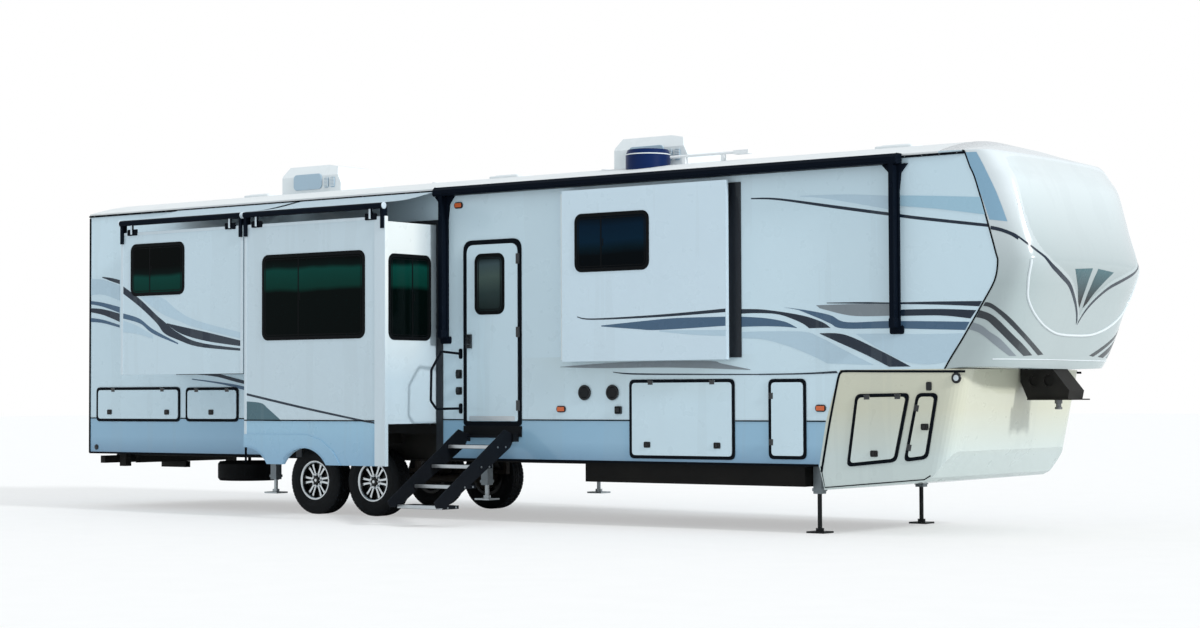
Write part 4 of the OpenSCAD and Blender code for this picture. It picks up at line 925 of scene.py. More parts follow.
def makeSideTrims():
    size = sideTrims
    dark, lips = Solid(), Solid()
    for side in (-1, 1):
        place = onSide(side, wallY)
        for x0, x1 in beltRuns[side]:
            dark.plate(roundedRect(x0, size["belt"] - size["beltHalf"], x1, size["belt"] + size["beltHalf"], 0.003, 2), place, 0.0, size["beltOut"])
        for x0, x1 in lipRuns[side]:
            lips.plate(roundedRect(x0, size["lip"], x1, size["lipTop"], 0.003, 2), place, 0.0, size["lipOut"])
        dark.ribbon(smoothLine(dropOutline, 60), 0.022, place, 0.0, 0.004)
        dark.ribbon([(-1.90, 0.652), (-1.855, 0.452), (-0.775, 0.548), (-0.71, 0.585)], 0.010, place, 0.0, 0.003)
        # black angle down the rear corner
        dark.plate(roundedRect(-12.452, 0.66, -12.425, 3.55, 0.006, 3), place, 0.0, 0.006)
    dark.piece("darkTrims", "root", "trimBlack", "trim_black")
    lips.piece("skirtLips", "root", "trimBlack", "trim_black")
    rear = Solid()
    for y in (-1, 1):
        rear.plate(roundedRect(y * 1.205 - 0.014, 0.66, y * 1.205 + 0.014, 3.55, 0.006, 3), onRear, 0.0, 0.006)
    rear.plate(roundedRect(-1.19, 3.545, 1.19, 3.58, 0.01, 3), onRear, 0.0, 0.006)
    rear.plate(roundedRect(-1.19, 1.079, 1.19, 1.091, 0.003, 2), onRear, 0.0, 0.006)
    rear.piece("rearTrims", "root", "trimBlack", "trim_black")


makeSideTrims()

# rooms: side, body, face's ends, bottom and top
faces = {"mid": (-1, -8.85, -6.74, 0.6, 3.25), "rear": (-1, -10.89, -8.87, 1.6, 3.25), "left": (1, -10.26, -5.84, 0.6, 3.25)}
archSizes = {"radius": 0.395, "width": 0.022, "out": 0.012, "centres": (-7.928, -8.822), "height": 0.386, "from": 42, "to": 138}


def makeRoomTrims():
    for name, (side, x0, x1, z0, z1) in faces.items():
        body = name + "_slide_room"
        place = onSide(side, roomY)
        pale, dark, lips = Solid(), Solid(), Solid()
        right = 0.15 if name == "mid" else 0.04
        left = 0.92 if name == "mid" else z0
        if name == "left":
            pale.plate(roundedRect(x0 + 0.002, 0.62, x0 + 0.05, z1, 0.012, 4), place, 0.0, 0.004, 0, 0.003)
            pale.plate(roundedRect(x1 - 0.11, 0.62, x1 - 0.002, z1, 0.012, 4), place, 0.0, 0.004, 0, 0.003)
        else:
            pale.plate(roundedRect(x0 + 0.002, left, x0 + 0.04, z1, 0.012, 4), place, 0.0, 0.004, 0, 0.003)
            pale.plate(roundedRect(x1 - right, z0, x1 - 0.002, z1, 0.012, 4), place, 0.0, 0.004, 0, 0.003)
        pale.plate(roundedRect(x0 + 0.05, z1 - 0.035, x1 - right - 0.005, z1 - 0.003, 0.008, 3), place, 0.0, 0.004, 0, 0.003)
        pale.piece(name + "RoomMouldings", body, "roomEdge", "room_white")
        # dark edge where the face meets the room's rear side: a black strip standing in for the shadow in the gap there
        dark.plate(roundedRect(x0 - 0.002, z0 + 0.01, x0 + 0.003, z1 - 0.01, 0.001, 1), onSide(side, roomY - 0.04), 0.0, 0.03, 0, 0.001)
        if name != "rear":
            stop = x1 - (right if name == "mid" else 0.11)
            dark.plate(roundedRect(x0 + (0.0 if name == "mid" else 0.05), 1.074, stop, 1.086, 0.003, 2), place, 0.0, 0.006)
            for x in archSizes["centres"]:
                arc = [(x + archSizes["radius"] * math.cos(math.radians(a)), archSizes["height"] + archSizes["radius"] * math.sin(math.radians(a)))
                       for a in range(archSizes["from"], archSizes["to"] + 1, 3)]
                arc = [p for p in arc if x0 + 0.02 < p[0] < x1 - 0.02]
                outer = [(x + (p - x) * 1.055, archSizes["height"] + (q - archSizes["height"]) * 1.055) for p, q in arc]
                lips.strip(outer, arc, place, 0.0, archSizes["out"])
            lips.piece(name + "ArchLips", body, "skirtBlue", "skirt_blue")
        dark.piece(name + "RoomEdges", body, "trimBlack", "trim_black")


makeRoomTrims()

# sheets over the rooms: side, ends, joint
toppers = {"mid": (-1, -8.81, -6.78, "mid_slide_out"), "rear": (-1, -10.85, -8.91, "rear_slide_out"), "left": (1, -10.22, -5.88, "left_slide_out")}
topperSizes = {"wall": 1.234, "wallHeight": 3.564, "roller": 2.1, "rollerHeight": 3.3935, "sag": 0.022, "thick": 0.0012, "keep": 0.076, "across": 26, "per": 9, "hem": 0.012}


def makeTopper(name, side, x0, x1, joint):
    size = topperSizes
    n, m = size["across"], int((x1 - x0) * size["per"]) + 2
    rows = []
    for i in range(m + 1):
        x = x0 + (x1 - x0) * i / m
        line = []
        for j in range(n + 1):
            t = j / n
            edge = min(i, m - i) / m
            ripple = 0.004 * math.sin(9 * x + 5 * t) * math.sin(math.pi * t) + 0.003 * math.sin(31 * x) * t * (1 - t)
            y = size["wall"] + (size["roller"] - size["wall"]) * t
            z = size["wallHeight"] + (size["rollerHeight"] - size["wallHeight"]) * t - size["sag"] * 4 * t * (1 - t) * (0.8 + 0.2 * min(1, 8 * edge)) + ripple
            line.append((x, side * y, z + ground))
        rows.append(line)
    solid = Solid()
    k = n + 1
    upper = [Vector(p) for line in rows for p in line]
    lower = [p - Vector((0, 0, size["thick"])) for p in upper]
    base = len(upper)
    quads = [[i * k + j, i * k + j + 1, (i + 1) * k + j + 1, (i + 1) * k + j] for i in range(m) for j in range(n)]
    rim = [j for j in range(k)] + [i * k + n for i in range(1, m + 1)] + [m * k + j for j in range(n - 1, -1, -1)] + [i * k for i in range(m - 1, 0, -1)]
    walls = [[rim[q], rim[(q + 1) % len(rim)], rim[(q + 1) % len(rim)] + base, rim[q] + base] for q in range(len(rim))]
    solid.points, solid.faces = upper + lower, quads + [[v + base for v in f[::-1]] for f in quads] + walls
    # the underside and the edges take the dark copy of the cloth: painted shade under the sheet
    solid.marks = [0] * len(quads) + [1] * (len(quads) + len(walls))
    cloth = solid.piece(name + "TopperCloth", "root", ["topperTop", "topperUnderShade"], "topper_cloth", 60)
    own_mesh(cloth)
    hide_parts("topper_fabrics")


for name, topper in toppers.items():
    makeTopper(name, *topper)

rollerSizes = {"y": 2.1, "z": 3.36, "cap": 0.046, "foot": (0.085, 0.036), "footZ": 3.25, "in": 0.19}
capProfile = [(0, 0), (0.033, 0), (0.037, 0.003), (0.037, 0.008), (0.032, 0.0115), (0.012, 0.0125), (0, 0.0125)]


def makeTopperEnds():
    size = rollerSizes
    for name, (side, x0, x1, joint) in toppers.items():
        inner, outer = x0 - 0.03, x1 + 0.03
        caps, feet = Solid(), Solid()
        for x, way in ((inner, -1), (outer, 1)):
            caps.lathe([(r, h * way) for r, h in capProfile], acrossFrom(x), (side * size["y"], size["z"]), 28)
            mid = x - way * size["in"]
            feet.plate(roundedRect(mid - size["foot"][0], size["footZ"] - size["foot"][1], mid + size["foot"][0], size["footZ"] + size["foot"][1], 0.012, 4),
                       onSide(side, roomY), 0.0, 0.012, 0, 0.004)
            feet.plate(roundedRect(mid - 0.02, size["footZ"] - 0.02, mid + 0.02, size["z"] - 0.02, 0.006, 3), onSide(side, roomY), 0.004, 0.022, 0, 0.003)
            caps.plate(roundedRect(mid - 0.012, size["footZ"] - 0.025, mid + 0.012, size["footZ"] + 0.09, 0.005, 3), onSide(side, roomY), 0.02, 0.027, 0, 0.002)
        caps.piece(name + "TopperCaps", name + "_slide_room", "roomEdge", None, 40)
        feet.piece(name + "TopperFeet", name + "_slide_room", "trimBlack", "trim_black")


makeTopperEnds()
print("rooms made")

wheelXs = {"front": -7.818, "rear": -8.712}
wheelSizes = {"track": 1.0, "height": 0.386, "spokes": 6, "nuts": 8, "nutRing": 0.062, "lugs": 54}
tyreHalf = [(0.204, 0.094), (0.222, 0.098), (0.225, 0.106), (0.240, 0.113), (0.262, 0.1165), (0.290, 0.117), (0.300, 0.1185), (0.306, 0.117), (0.330, 0.1155),
            (0.352, 0.111), (0.366, 0.105), (0.374, 0.097), (0.3785, 0.086), (0.3785, 0.050), (0.3785, 0.018)]
rimBarrel = [(0.203, -0.104), (0.2225, -0.104), (0.2225, -0.110), (0.189, -0.110), (0.189, 0.05), (0.193, 0.09), (0.199, 0.102), (0.204, 0.102), (0.203, 0.09)]
rimLip = [(0.206, 0.098), (0.222, 0.101), (0.2243, 0.107), (0.222, 0.1115), (0.213, 0.1125), (0.205, 0.1095), (0.199, 0.104), (0.198, 0.099)]


def onWheel(side, x):
    return lambda a, b, h: Vector((x + a, side * (wheelSizes["track"] + h), wheelSizes["height"] + b + ground))


def makeWheels():
    size = wheelSizes
    spoke = Solid()
    for way in (1, -1):
        arm = [(0.064, 0.004), (0.120, 0.009), (0.196, 0.020), (0.196, 0.056), (0.150, 0.040), (0.064, 0.026)]
        spoke.plate([(a, b * way) for a, b in arm], flat, 0.038, 0.075, 0, 0.004)
    spoke = makeItem("spoke", spoke)
    nut = Solid()
    nut.lathe([(0, 0.068), (0.0125, 0.068), (0.0125, 0.086), (0.0095, 0.092), (0, 0.093)], flat, count=6)
    nut = makeItem("nut", nut)
    lug = Solid()
    step = tau * 0.382 / size["lugs"]
    for low, high, lean in ((-0.096, -0.060, 0.1), (-0.052, -0.026, -0.2), (-0.018, 0.018, 0.0), (0.026, 0.052, 0.2), (0.060, 0.096, -0.1)):
        half = step * 0.41
        outline = [(-half + lean * step, low), (half + lean * step, low), (half - lean * step, high), (-half - lean * step, high)]
        edge = 0.0035 if abs(low) > 0.055 else 0.0
        solidPlace = lambda a, b, h, edge=edge: Vector((h - edge * (abs(b) > 0.09), a, b))
        lug.plate(outline, solidPlace, 0.374, 0.3855, 0, 0.0015)
    lug = makeItem("lug", lug)
    for side, sideName in ((-1, "right"), (1, "left")):
        for end, x in wheelXs.items():
            name, body = sideName + end.capitalize(), sideName + "_" + end + "_wheel_assembly"
            place = onWheel(side, x)
            centre, turn = (x, side * size["track"], size["height"] + ground), (-side * math.pi / 2, 0, 0)
            tyre = Solid()
            tyre.lathe(tyreHalf + [(r, -h) for r, h in tyreHalf[::-1]], place, count=96)
            tyre = tyre.piece(name + "Tyre", body, "tyreRubber", "tyre_rubber", 40)
            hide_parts(sideName + "_" + end + "_tyre")
            rounds.grow(name + "Tread", body, {"Item": lug, "Finish": "tyreRubber", "Count": size["lugs"], "Radius": 0.0, "Centre": centre, "Turn": turn}, slotName="tyre_rubber")
            rim = Solid()
            rim.lathe(rimLip, place, count=72, mark=0)
            rim.lathe(rimBarrel, place, count=72, mark=1)
            rim.lathe([(0, 0.026), (0.190, 0.026), (0.190, 0.036), (0.080, 0.040), (0, 0.040)], place, count=48, mark=1)
            rim.lathe([(0.050, 0.04), (0.082, 0.04), (0.084, 0.070), (0.078, 0.077), (0.055, 0.078), (0.050, 0.074)], place, count=48, mark=0)
            rim.lathe([(0, 0.04), (0.047, 0.04), (0.047, 0.088), (0.042, 0.095), (0.020, 0.098), (0, 0.098)], place, count=40, mark=1)
            rim.lathe([(0, 0.0975), (0.017, 0.0975), (0.017, 0.0995), (0, 0.0995)], place, count=24, mark=0)
            rim.lathe([(0, 0.095), (0.004, 0.095), (0.004, 0.122), (0, 0.122)], place, (0.0, 0.186), 10, 1)
            rim = rim.piece(name + "Rim", body, ["alloyFace", "alloyBlack"], "wheel_alloy", 35)
            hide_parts(sideName + "_" + end + "_wheel")
            rounds.grow(name + "Spokes", body, {"Item": spoke, "Finish": "wheelAlloy", "Count": size["spokes"], "Radius": 0.0, "Centre": centre, "Turn": turn}, slotName="wheel_alloy")
            rounds.grow(name + "Nuts", body, {"Item": nut, "Finish": "edgeSilver", "Count": size["nuts"], "Radius": size["nutRing"], "Centre": centre, "Turn": turn}, slotName="wheel_alloy")


makeWheels()
print("wheels made")

leafY = 1.232  # outer face of the door and the hatches
latchPlaces = {"right_rear_hatch_lid": (-1, [(-12.064, 1.159), (-11.042, 1.159)]), "right_utility_hatch_lid": (-1, [(-10.281, 1.159)]),
               "right_pass_hatch_lid": (-1, [(-3.946, 0.84), (-3.091, 0.84)]), "right_nose_hatch_lid": (-1, [(-1.304, 0.782)]),
               "right_battery_hatch_lid": (-1, [(-0.76, 1.037)]), "left_pass_hatch_lid": (1, [(-3.946, 0.84), (-3.091, 0.84)]), "left_nose_hatch_lid": (1, [(-1.304, 0.782)])}


def makeLatches():
    latch = Solid()
    latch.ring(roundedRect(-0.040, -0.030, 0.040, 0.030, 0.012), roundedRect(-0.032, -0.022, 0.032, 0.022, 0.008), lambda a, b, h: Vector((a, -h, b)), 0.0, 0.008)
    latch.plate(roundedRect(-0.033, -0.023, 0.033, 0.023, 0.008), lambda a, b, h: Vector((a, -h, b)), 0.0, 0.003)
    latch.plate(roundedRect(-0.026, -0.016, 0.010, 0.016, 0.006), lambda a, b, h: Vector((a, -h, b)), 0.002, 0.010)
    latch.lathe([(0, 0.002), (0.009, 0.002), (0.009, 0.010), (0.007, 0.012), (0, 0.012)], lambda a, b, h: Vector((a, -h, b)), (0.020, 0.0), 16)
    latch = makeItem("latch", latch)
    for body, (side, places) in latchPlaces.items():
        scatter.grow("latches_" + body, body, {"Item": latch, "Finish": "latchBlack", "Size": 1.0}, [(x, side * leafY, z + ground) for x, z in places],
                     turns=[(0, 0, 0 if side < 0 else math.pi)] * len(places), slotName="fitting_black")


def makeDoorParts():
    place = onSide(-1, wallY + 0.0361)
    solid = Solid()
    solid.plate(roundedRect(-6.322, 1.90, -6.268, 1.935, 0.012, 4), place, -0.004, 0.012, 0, 0.004)
    solid.plate(roundedRect(-6.318, 1.855, -6.272, 1.885, 0.010, 4), place, -0.004, 0.006, 0, 0.003)
    solid.lathe([(0, -0.004), (0.011, -0.004), (0.011, 0.006), (0.008, 0.008), (0, 0.008)], place, (-6.295, 1.972), 20)
    solid.piece("doorLatch", "entry_door_leaf", "latchBlack", "fitting_black")
    edge = Solid()
    edge.plate(roundedRect(-6.30, 1.075, -5.67, 1.125, 0.012, 4), onSide(-1, leafY), 0.0, 0.003, 0, 0.001)
    edge.piece("doorKick", "entry_door_leaf", "edgeSilver", "wall_white")


def makeSideFittings():
    solid, lens = Solid(), Solid()
    wall = onSide(-1, wallY)
    for x in (-4.745, -4.386):
        solid.lathe([(0.060, 0.010), (0.078, 0.010), (0.080, 0.014), (0.076, 0.019), (0.064, 0.0195), (0.060, 0.016)], wall, (x, 1.370), 40)
    for x, z, side in ((-6.5, 3.4, -1), (-5.1, 1.2, -1), (-1.94, 1.21, -1), (-11.9, 1.3, 1), (-5.1, 1.2, 1), (-1.94, 1.21, 1)):
        solid.ring(roundedRect(x - 0.014, z - 0.034, x + 0.104, z + 0.034, 0.030), roundedRect(x + 0.001, z - 0.021, x + 0.089, z + 0.021, 0.018),
                   onSide(side, wallY), 0.0, 0.013)
    # outlets beside the door, cover on the skirt, washed-out vents
    for x, z, w, h in ((-6.455, 1.395, 0.042, 0.042), (-6.455, 1.575, 0.042, 0.048), (-4.31, 1.19, 0.04, 0.04)):
        solid.plate(roundedRect(x - w, z - h, x + w, z + h, 0.012), wall, 0.0, 0.024 if x > -5 else 0.006, 0, 0.003)
        solid.plate(roundedRect(x - w * 0.6, z - h * 0.55, x + w * 0.6, z + h * 0.6, 0.008), wall, 0.0, 0.033, 0, 0.004)
    solid.lathe([(0, 0), (0.034, 0), (0.034, 0.006), (0.028, 0.010), (0, 0.010)], wall, (-12.313, 0.728), 28)
    solid.lathe([(0.026, 0.001), (0.050, 0.001), (0.052, 0.006), (0.046, 0.014), (0.034, 0.0155), (0.026, 0.012)], wall, (-0.43, 1.49), 40)
    lens.lathe([(0, 0.004), (0.031, 0.004), (0.031, 0.011), (0.020, 0.0165), (0, 0.018)], wall, (-0.43, 1.49), 32)
    solid.plate(roundedRect(-0.745, 1.375, -0.69, 1.455, 0.012), wall, 0.0, 0.014, 0, 0.004)
    # left side: shore inlet, fuel-free utility covers and a fridge-size vent
    other = onSide(1, wallY)
    for x, z, w, h in ((-11.0, 1.45, 0.07, 0.07), (-10.7, 1.45, 0.055, 0.055), (-5.2, 1.45, 0.05, 0.05)):
        solid.plate(roundedRect(x - w, z - h, x + w, z + h, 0.018), other, 0.0, 0.012, 0, 0.004)
        solid.plate(roundedRect(x - w * 0.7, z - h * 0.7, x + w * 0.7, z + h * 0.7, 0.012), other, 0.0, 0.020, 0, 0.004)
    solid.piece("sideFittings", "root", "lampRim", "fitting_black", 40)
    lens.piece("roundLampLens", "root", "lensClear", "lamp_amber", 40)
    slat = Solid()
    slat.plate(roundedRect(-0.052, -0.0025, 0.052, 0.0025, 0.002, 2), lambda a, b, h: Vector((a, -h, b)), 0.012, 0.017)
    slat = makeItem("slat", slat)
    for k, x in enumerate((-4.745, -4.386)):
        row.grow("speakerGrille%d" % (k + 1), "root", {"Item": slat, "Finish": "lampRim", "Count": 9, "Start": (x, -wallY, 1.33 + ground), "Step": (0, 0, 0.010)}, slotName="fitting_black")


handleSizes = {"x": -6.43, "bar": 0.0135, "bend": 0.045, "plate": (0.024, 0.055)}
handleLine = [(0.004, 1.795), (0.320, 1.815), (0.480, 1.620), (0.490, 1.290), (0.400, 1.203), (0.004, 1.205)]


def makeHandle():
    size = handleSizes
    line = [(size["x"], -wallY - p, q + ground) for p, q in handleLine]
    bar = sweepLine("grabBar", "root", line, size["bar"], "trimBlack", size["bend"], 16, "trim_black")
    solid = Solid()
    for p, z in (handleLine[0], handleLine[-1]):
        w, h = size["plate"]
        solid.plate(roundedRect(size["x"] - w, z - h, size["x"] + w, z + h, 0.018), onSide(-1, wallY), 0.0, 0.008, 0, 0.003)
        solid.lathe([(0.0, 0.005), (0.022, 0.005), (0.020, 0.02), (0.0145, 0.03), (0, 0.03)], onSide(-1, wallY), (size["x"], z), 20)
    solid.piece("grabPlates", "root", "trimBlack", "trim_black", 40)
    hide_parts("grab_handle")


stepSizes = {"middle": -5.975, "half": 0.31, "first": (-1.6, 0.82), "step": (0, -0.267, -0.2), "count": 4, "ridges": 7}


def makeSteps():
    size = stepSizes
    w, m, (y, z) = size["half"], size["middle"], size["first"]
    nose = Solid()
    nose.plate(roundedRect(-w + 0.004, -0.032, w - 0.004, 0.001, 0.004, 3), lambda a, b, h: Vector((a, -h, b)), -0.006, 0.005)
    nose.plate(roundedRect(-w + 0.004, -0.001, w - 0.004, 0.022, 0.004, 3), flat, -0.001, 0.003)
    nose = makeItem("nose", nose)
    row.grow("treadEdges", "steps", {"Item": nose, "Finish": "edgeSilver", "Count": size["count"], "Start": (m, y, z + ground), "Step": size["step"]}, slotName="step_black")
    ridge = Solid()
    ridge.plate(roundedRect(-w + 0.03, -0.005, w - 0.03, 0.005, 0.003, 2), flat, -0.001, 0.0035)
    ridge = makeItem("ridge", ridge)
    places = [(m, y + size["step"][1] * k + 0.05 + 0.027 * j, z + size["step"][2] * k + ground) for k in range(size["count"]) for j in range(size["ridges"])]
    scatter.grow("treadRidges", "steps", {"Item": ridge, "Finish": "plasticBlack", "Size": 1.0}, places, turns=[(0, 0, 0)] * len(places), slotName="step_black")
    bolt = Solid()
    bolt.lathe([(0, 0), (0.012, 0), (0.012, 0.006), (0.009, 0.009), (0, 0.009)], lambda a, b, h: Vector((h, a, b)), count=6)
    bolt = makeItem("bolt", bolt)
    places, turns = [], []
    for way in (1, -1):
        for k in range(size["count"]):
            for d in (0.06, 0.19):
                places.append((m + way * (w + 0.0119), y + size["step"][1] * k + d, z + size["step"][2] * k - 0.018 + ground))
                turns.append((0, 0, 0 if way > 0 else math.pi))
    scatter.grow("stepBolts", "steps", {"Item": bolt, "Finish": "screwSteel", "Size": 1.0}, places, turns=turns, slotName="step_black")


coolerXs = (-9.97, -4.99)
coolerSizes = {"half": 0.38, "panel": (0.20, 3.80, 0.66, 3.985), "louvres": 9, "pitch": 0.0165}


def makeCoolers():
    size = coolerSizes
    x0, z0, x1, z1 = size["panel"]
    panels, grilles = Solid(), Solid()
    for x in coolerXs:
        for side in (-1, 1):
            place = onSide(side, size["half"] - 0.005)
            panels.plate(roundedRect(x + x0, z0, x + x1, z1, 0.05), place, 0.0, 0.011, 0, 0.005)
            for a in (0.70, 0.80):
                grilles.plate(roundedRect(x + a, z0 + 0.01, x + a + 0.07, z1 - 0.05, 0.02), place, 0.0, 0.009, 0, 0.003)
        panels.plate(roundedRect(-0.30, 3.80, 0.30, 3.975, 0.04), lambda a, b, h, x=x: Vector((x + 0.012 - h, a, b + ground)), 0.0, 0.018, 0, 0.005)
        panels.plate(roundedRect(x + 0.12, -0.22, x + 0.66, 0.22, 0.08), onTop(4.088), 0.0, 0.008, 0, 0.004)
    panels.piece("coolerPanels", "root", "coolerBlue", "cooler_white")
    grilles.piece("coolerGrilles", "root", "coolerBlue", "cooler_white")
    fin = Solid()
    fin.plate(roundedRect(-0.031, -0.004, 0.031, 0.004, 0.003, 2), lambda a, b, h: Vector((a, -h, b)), 0.0, 0.007)
    fin = makeItem("fin", fin)
    places, turns = [], []
    for x in coolerXs:
        for side in (-1, 1):
            for a in (0.735, 0.835):
                for k in range(7):
                    places.append((x + a, side * (size["half"] + 0.003), z0 + 0.028 + k * size["pitch"] + ground))
                    turns.append((0, 0, 0 if side < 0 else math.pi))
    scatter.grow("coolerFins", "root", {"Item": fin, "Finish": "coolerWhite", "Size": 1.0}, places, turns=turns, slotName="cooler_white")


def makeRoofParts():
    solid = Solid()
    for x in (-11.2, -7.2, -2.1):
        solid.plate(roundedRect(x - 0.012, 0.188, x + 0.432, 0.632, 0.03), onTop(3.835), 0.0, 0.024, 0, 0.008)
        solid.plate(roundedRect(x + 0.03, 0.23, x + 0.39, 0.59, 0.05), onTop(3.858), 0.0, 0.012, 0, 0.006)
    solid.lathe([(0, 0), (0.238, 0), (0.240, 0.006), (0.232, 0.012), (0, 0.012)], onTop(3.845), (-4.34, -0.65), 48)
    solid.piece("ventLids", "root", "coolerWhite", "roof_parts", 30)
    screw = Solid()
    screw.lathe([(0, 0), (0.0055, 0), (0.005, 0.002), (0.003, 0.003), (0, 0.003)], lambda a, b, h: Vector((a, -h, b)), count=8)
    screw = makeItem("screw", screw)
    places, turns = [], []
    runs = [(-1, -12.35, -6.78, wallY + 0.014, 3.569, 27), (-1, -0.95, -0.40, wallY + 0.014, 3.569, 4), (1, -12.35, -0.40, wallY + 0.014, 3.569, 58)]
    runs += [(-1, -10.85, -8.92, wallY + 0.012, 3.2225, 10), (1, -10.22, -5.88, wallY + 0.012, 3.2325, 20)]
    for side, x0, x1, y, z, count in runs:
        for k in range(count):
            places.append((x0 + (x1 - x0) * k / (count - 1), side * y, z + ground))
            turns.append((0, 0, 0 if side < 0 else math.pi))
    scatter.grow("trimScrews", "root", {"Item": screw, "Finish": "screwSteel", "Size": 1.0}, places, turns=turns, slotName="trim_black")


awningSizes = {"z0": 3.505, "z1": 3.6, "x": (-6.72, -1.0), "arms": (-6.675, -1.09)}


def makeAwningParts():
    size = awningSizes
    solid = Solid()
    for x, way in ((size["x"][0], -1), (size["x"][1], 1)):
        place = lambda a, b, h, x=x, way=way: Vector((x + way * h, a, b + ground))
        solid.plate([(-1.222, 3.502), (-1.325, 3.502), (-1.341, 3.518), (-1.341, 3.568), (-1.306, 3.603), (-1.222, 3.603)], place, 0.0, 0.014, 0, 0.004)
    # lead rail of the rolled cloth, arm heads, feet and their knuckles
    solid.plate(roundedRect(size["x"][0] + 0.05, 3.530, size["x"][1] - 0.05, 3.556, 0.010), onSide(-1, wallY + 0.118), -0.002, 0.008, 0, 0.003)
    for x in size["arms"]:
        head = [(x - 0.10, 3.505), (x + 0.17, 3.505), (x + 0.10, 3.42), (x + 0.082, 3.26), (x - 0.002, 3.26), (x - 0.02, 3.42)]
        solid.plate(head, onSide(-1, wallY), 0.0, 0.034, 0, 0.006)
        solid.plate(roundedRect(x - 0.035, 1.905, x + 0.115, 1.985, 0.02), onSide(-1, wallY), 0.0, 0.018, 0, 0.005)
        solid.plate(roundedRect(x + 0.008, 1.96, x + 0.072, 2.06, 0.02), onSide(-1, wallY + 0.03), 0.0, 0.084, 0, 0.008)
        solid.lathe([(0, -0.03), (0.020, -0.03), (0.020, 0.012), (0.014, 0.018), (0, 0.018)], onSide(-1, wallY + 0.1), (x + 0.04, 3.30), 20)
        solid.ribbon([(x + 0.04, 2.05), (x + 0.04, 3.40)], 0.012, onSide(-1, wallY + 0.105), -0.002, 0.003)
    solid.piece("awningParts", "root", "awningBlack", "awning_black", 40)


def makeRearParts():
    solid, lens = Solid(), Solid()
    for side in (-1, 1):
        y0, y1 = sorted((side * 1.105, side * 0.885))
        solid.ring(roundedRect(y0, 0.805, y1, 0.915, 0.02), roundedRect(y0 + 0.018, 0.823, y1 - 0.018, 0.897, 0.01), onRear, 0.0, 0.024)
    # blank plate holder, cover of the rear view camera, six small square plates in two columns
    solid.plate(roundedRect(-0.17, 0.86, 0.17, 0.97, 0.015), onRear, 0.0, 0.010, 0, 0.003)
    solid.plate(roundedRect(-0.05, 3.30, 0.05, 3.40, 0.02), onRear, 0.0, 0.035, 0, 0.01)
    solid.lathe([(0, 0.03), (0.024, 0.03), (0.024, 0.045), (0.018, 0.05), (0, 0.05)], onRear, (0.0, 3.345), 24)
    for y in (0.74, 1.0):
        for z in (1.15, 2.30, 3.45):
            solid.plate(roundedRect(y - 0.03, z - 0.035, y + 0.03, z + 0.035, 0.012), onRear, 0.0, 0.008, 0, 0.003)
    solid.piece("rearParts", "root", "lampRim", "fitting_black", 40)


leafSizes = {"y": 0.78, "half": 0.4, "z": 0.428, "thick": 0.009, "leaves": 5, "width": 0.066}


def makeUnderbody():
    size = leafSizes
    solid = Solid()
    for side in (-1, 1):
        for x in wheelXs.values():
            for k in range(size["leaves"]):
                reach = size["half"] - 0.006 - 0.065 * k
                z = size["z"] + 0.036 - k * (size["thick"] + 0.0005)
                line = [(x + reach * t / 6, z - 0.0 * t * t) for t in range(-6, 7)]
                solid.ribbon(line, size["thick"], onSide(side, size["y"] - size["width"] / 2 - 0.0005), 0.0, size["width"] + 0.001)
            for d in (-0.062, 0.062):
                for h in (-0.036, 0.036):
                    solid.lathe([(0, 0), (0.008, 0), (0.008, 0.15), (0.006, 0.156), (0, 0.156)], onTop(0.322), (x + d, side * (size["y"] + h)), 12)
            # brake drum's rim
            solid.lathe([(0.140, -0.001), (0.153, -0.001), (0.153, 0.012), (0.140, 0.012)], onSide(side, 0.845), (x, 0.386), 48)
    solid.piece("springs", "root", "axleBlack", "axle_black", 40)


makeLatches()
makeDoorParts()
makeSideFittings()
makeHandle()
makeSteps()
makeCoolers()
makeRoofParts()
makeAwningParts()
makeRearParts()
makeUnderbody()
for item in items:
    bpy.data.objects.remove(item)
print("fittings made")


stageSizes = {"reach": 120.0, "sun": 2.1, "fill": 0.9, "sunWay": (-0.9, 0.1, -0.42)}


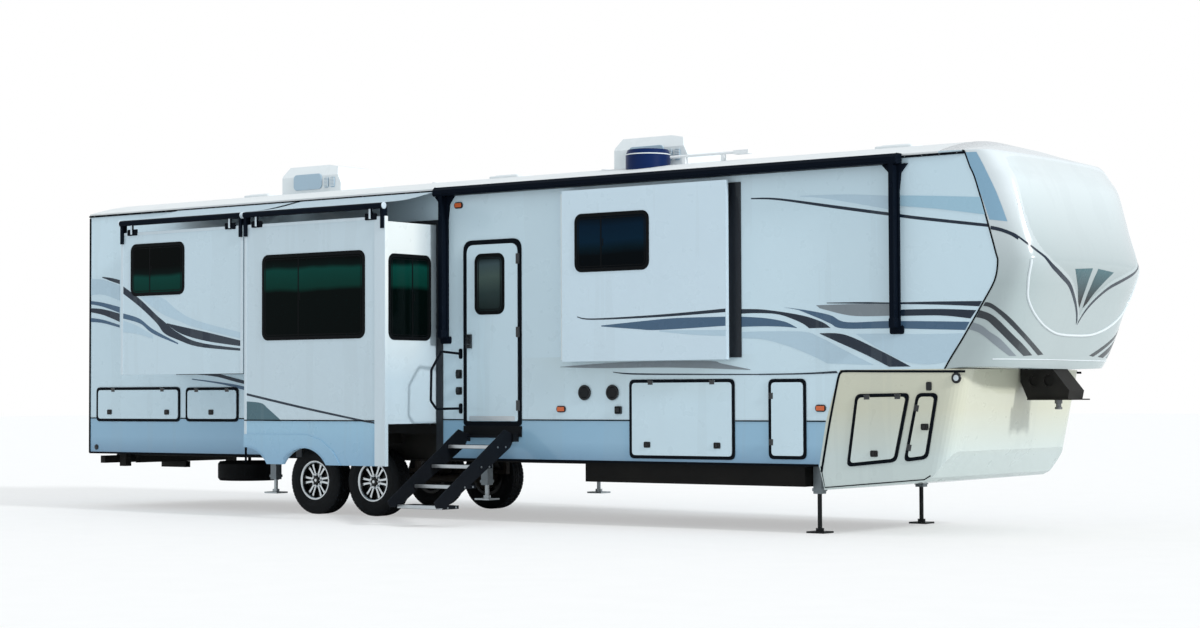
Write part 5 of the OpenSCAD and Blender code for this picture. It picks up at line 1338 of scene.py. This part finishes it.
def makeStage():
    reach = stageSizes["reach"]
    f = Finish("paleFloor")
    grain = f.noise(2.5, 4)
    f.set(Base_Color=f.blend(grain, rgb("f4f5f5"), rgb("eceeee")), Roughness=0.9)
    glow = f.node("ShaderNodeEmission", {}, {"Color": (1, 1, 1, 1), "Strength": 1.0})
    seen = f.node("ShaderNodeLightPath", output="Is Camera Ray")
    out = f.tree.nodes["Material Output"]
    mix = f.node("ShaderNodeMixShader", {}, {0: seen * 0.45, 1: Value(f, f.shader.outputs[0]), 2: glow})
    f.tree.links.new(mix.socket, out.inputs["Surface"])
    mesh = bpy.data.meshes.new("floor")
    mesh.from_pydata([(-reach, -reach, ground), (reach, -reach, ground), (reach, reach, ground), (-reach, reach, ground)], [], [(0, 1, 2, 3)])
    mesh.materials.append(f.material)
    floor = bpy.data.objects.new("floor", mesh)
    bpy.context.scene.collection.objects.link(floor)
    world = bpy.data.worlds.new("paleStudio")
    bpy.context.scene.world = world
    world.use_nodes = True
    tree = world.node_tree
    back = tree.nodes["Background"]
    white = tree.nodes.new("ShaderNodeBackground")
    white.inputs[0].default_value, white.inputs[1].default_value = (1, 1, 1, 1), 1.0
    back.inputs[0].default_value, back.inputs[1].default_value = rgb("f3f7fa"), stageSizes["fill"]
    path = tree.nodes.new("ShaderNodeLightPath")
    either = tree.nodes.new("ShaderNodeMath")
    either.operation = "MAXIMUM"
    mixed = tree.nodes.new("ShaderNodeMixShader")
    tree.links.new(path.outputs["Is Camera Ray"], either.inputs[0])
    tree.links.new(path.outputs["Is Transmission Ray"], either.inputs[1])
    tree.links.new(either.outputs[0], mixed.inputs[0])
    tree.links.new(back.outputs[0], mixed.inputs[1])
    tree.links.new(white.outputs[0], mixed.inputs[2])
    tree.links.new(mixed.outputs[0], tree.nodes["World Output"].inputs[0])
    sun = bpy.data.lights.new("keySun", "SUN")
    sun.energy, sun.angle = stageSizes["sun"], math.radians(6)
    lamp = bpy.data.objects.new("keySun", sun)
    lamp.rotation_mode = "QUATERNION"
    lamp.rotation_quaternion = Vector(stageSizes["sunWay"]).to_track_quat("-Z", "Y")
    bpy.context.scene.collection.objects.link(lamp)
    bpy.context.scene.view_settings.view_transform = "Standard"


makeStage()
print("stage made")
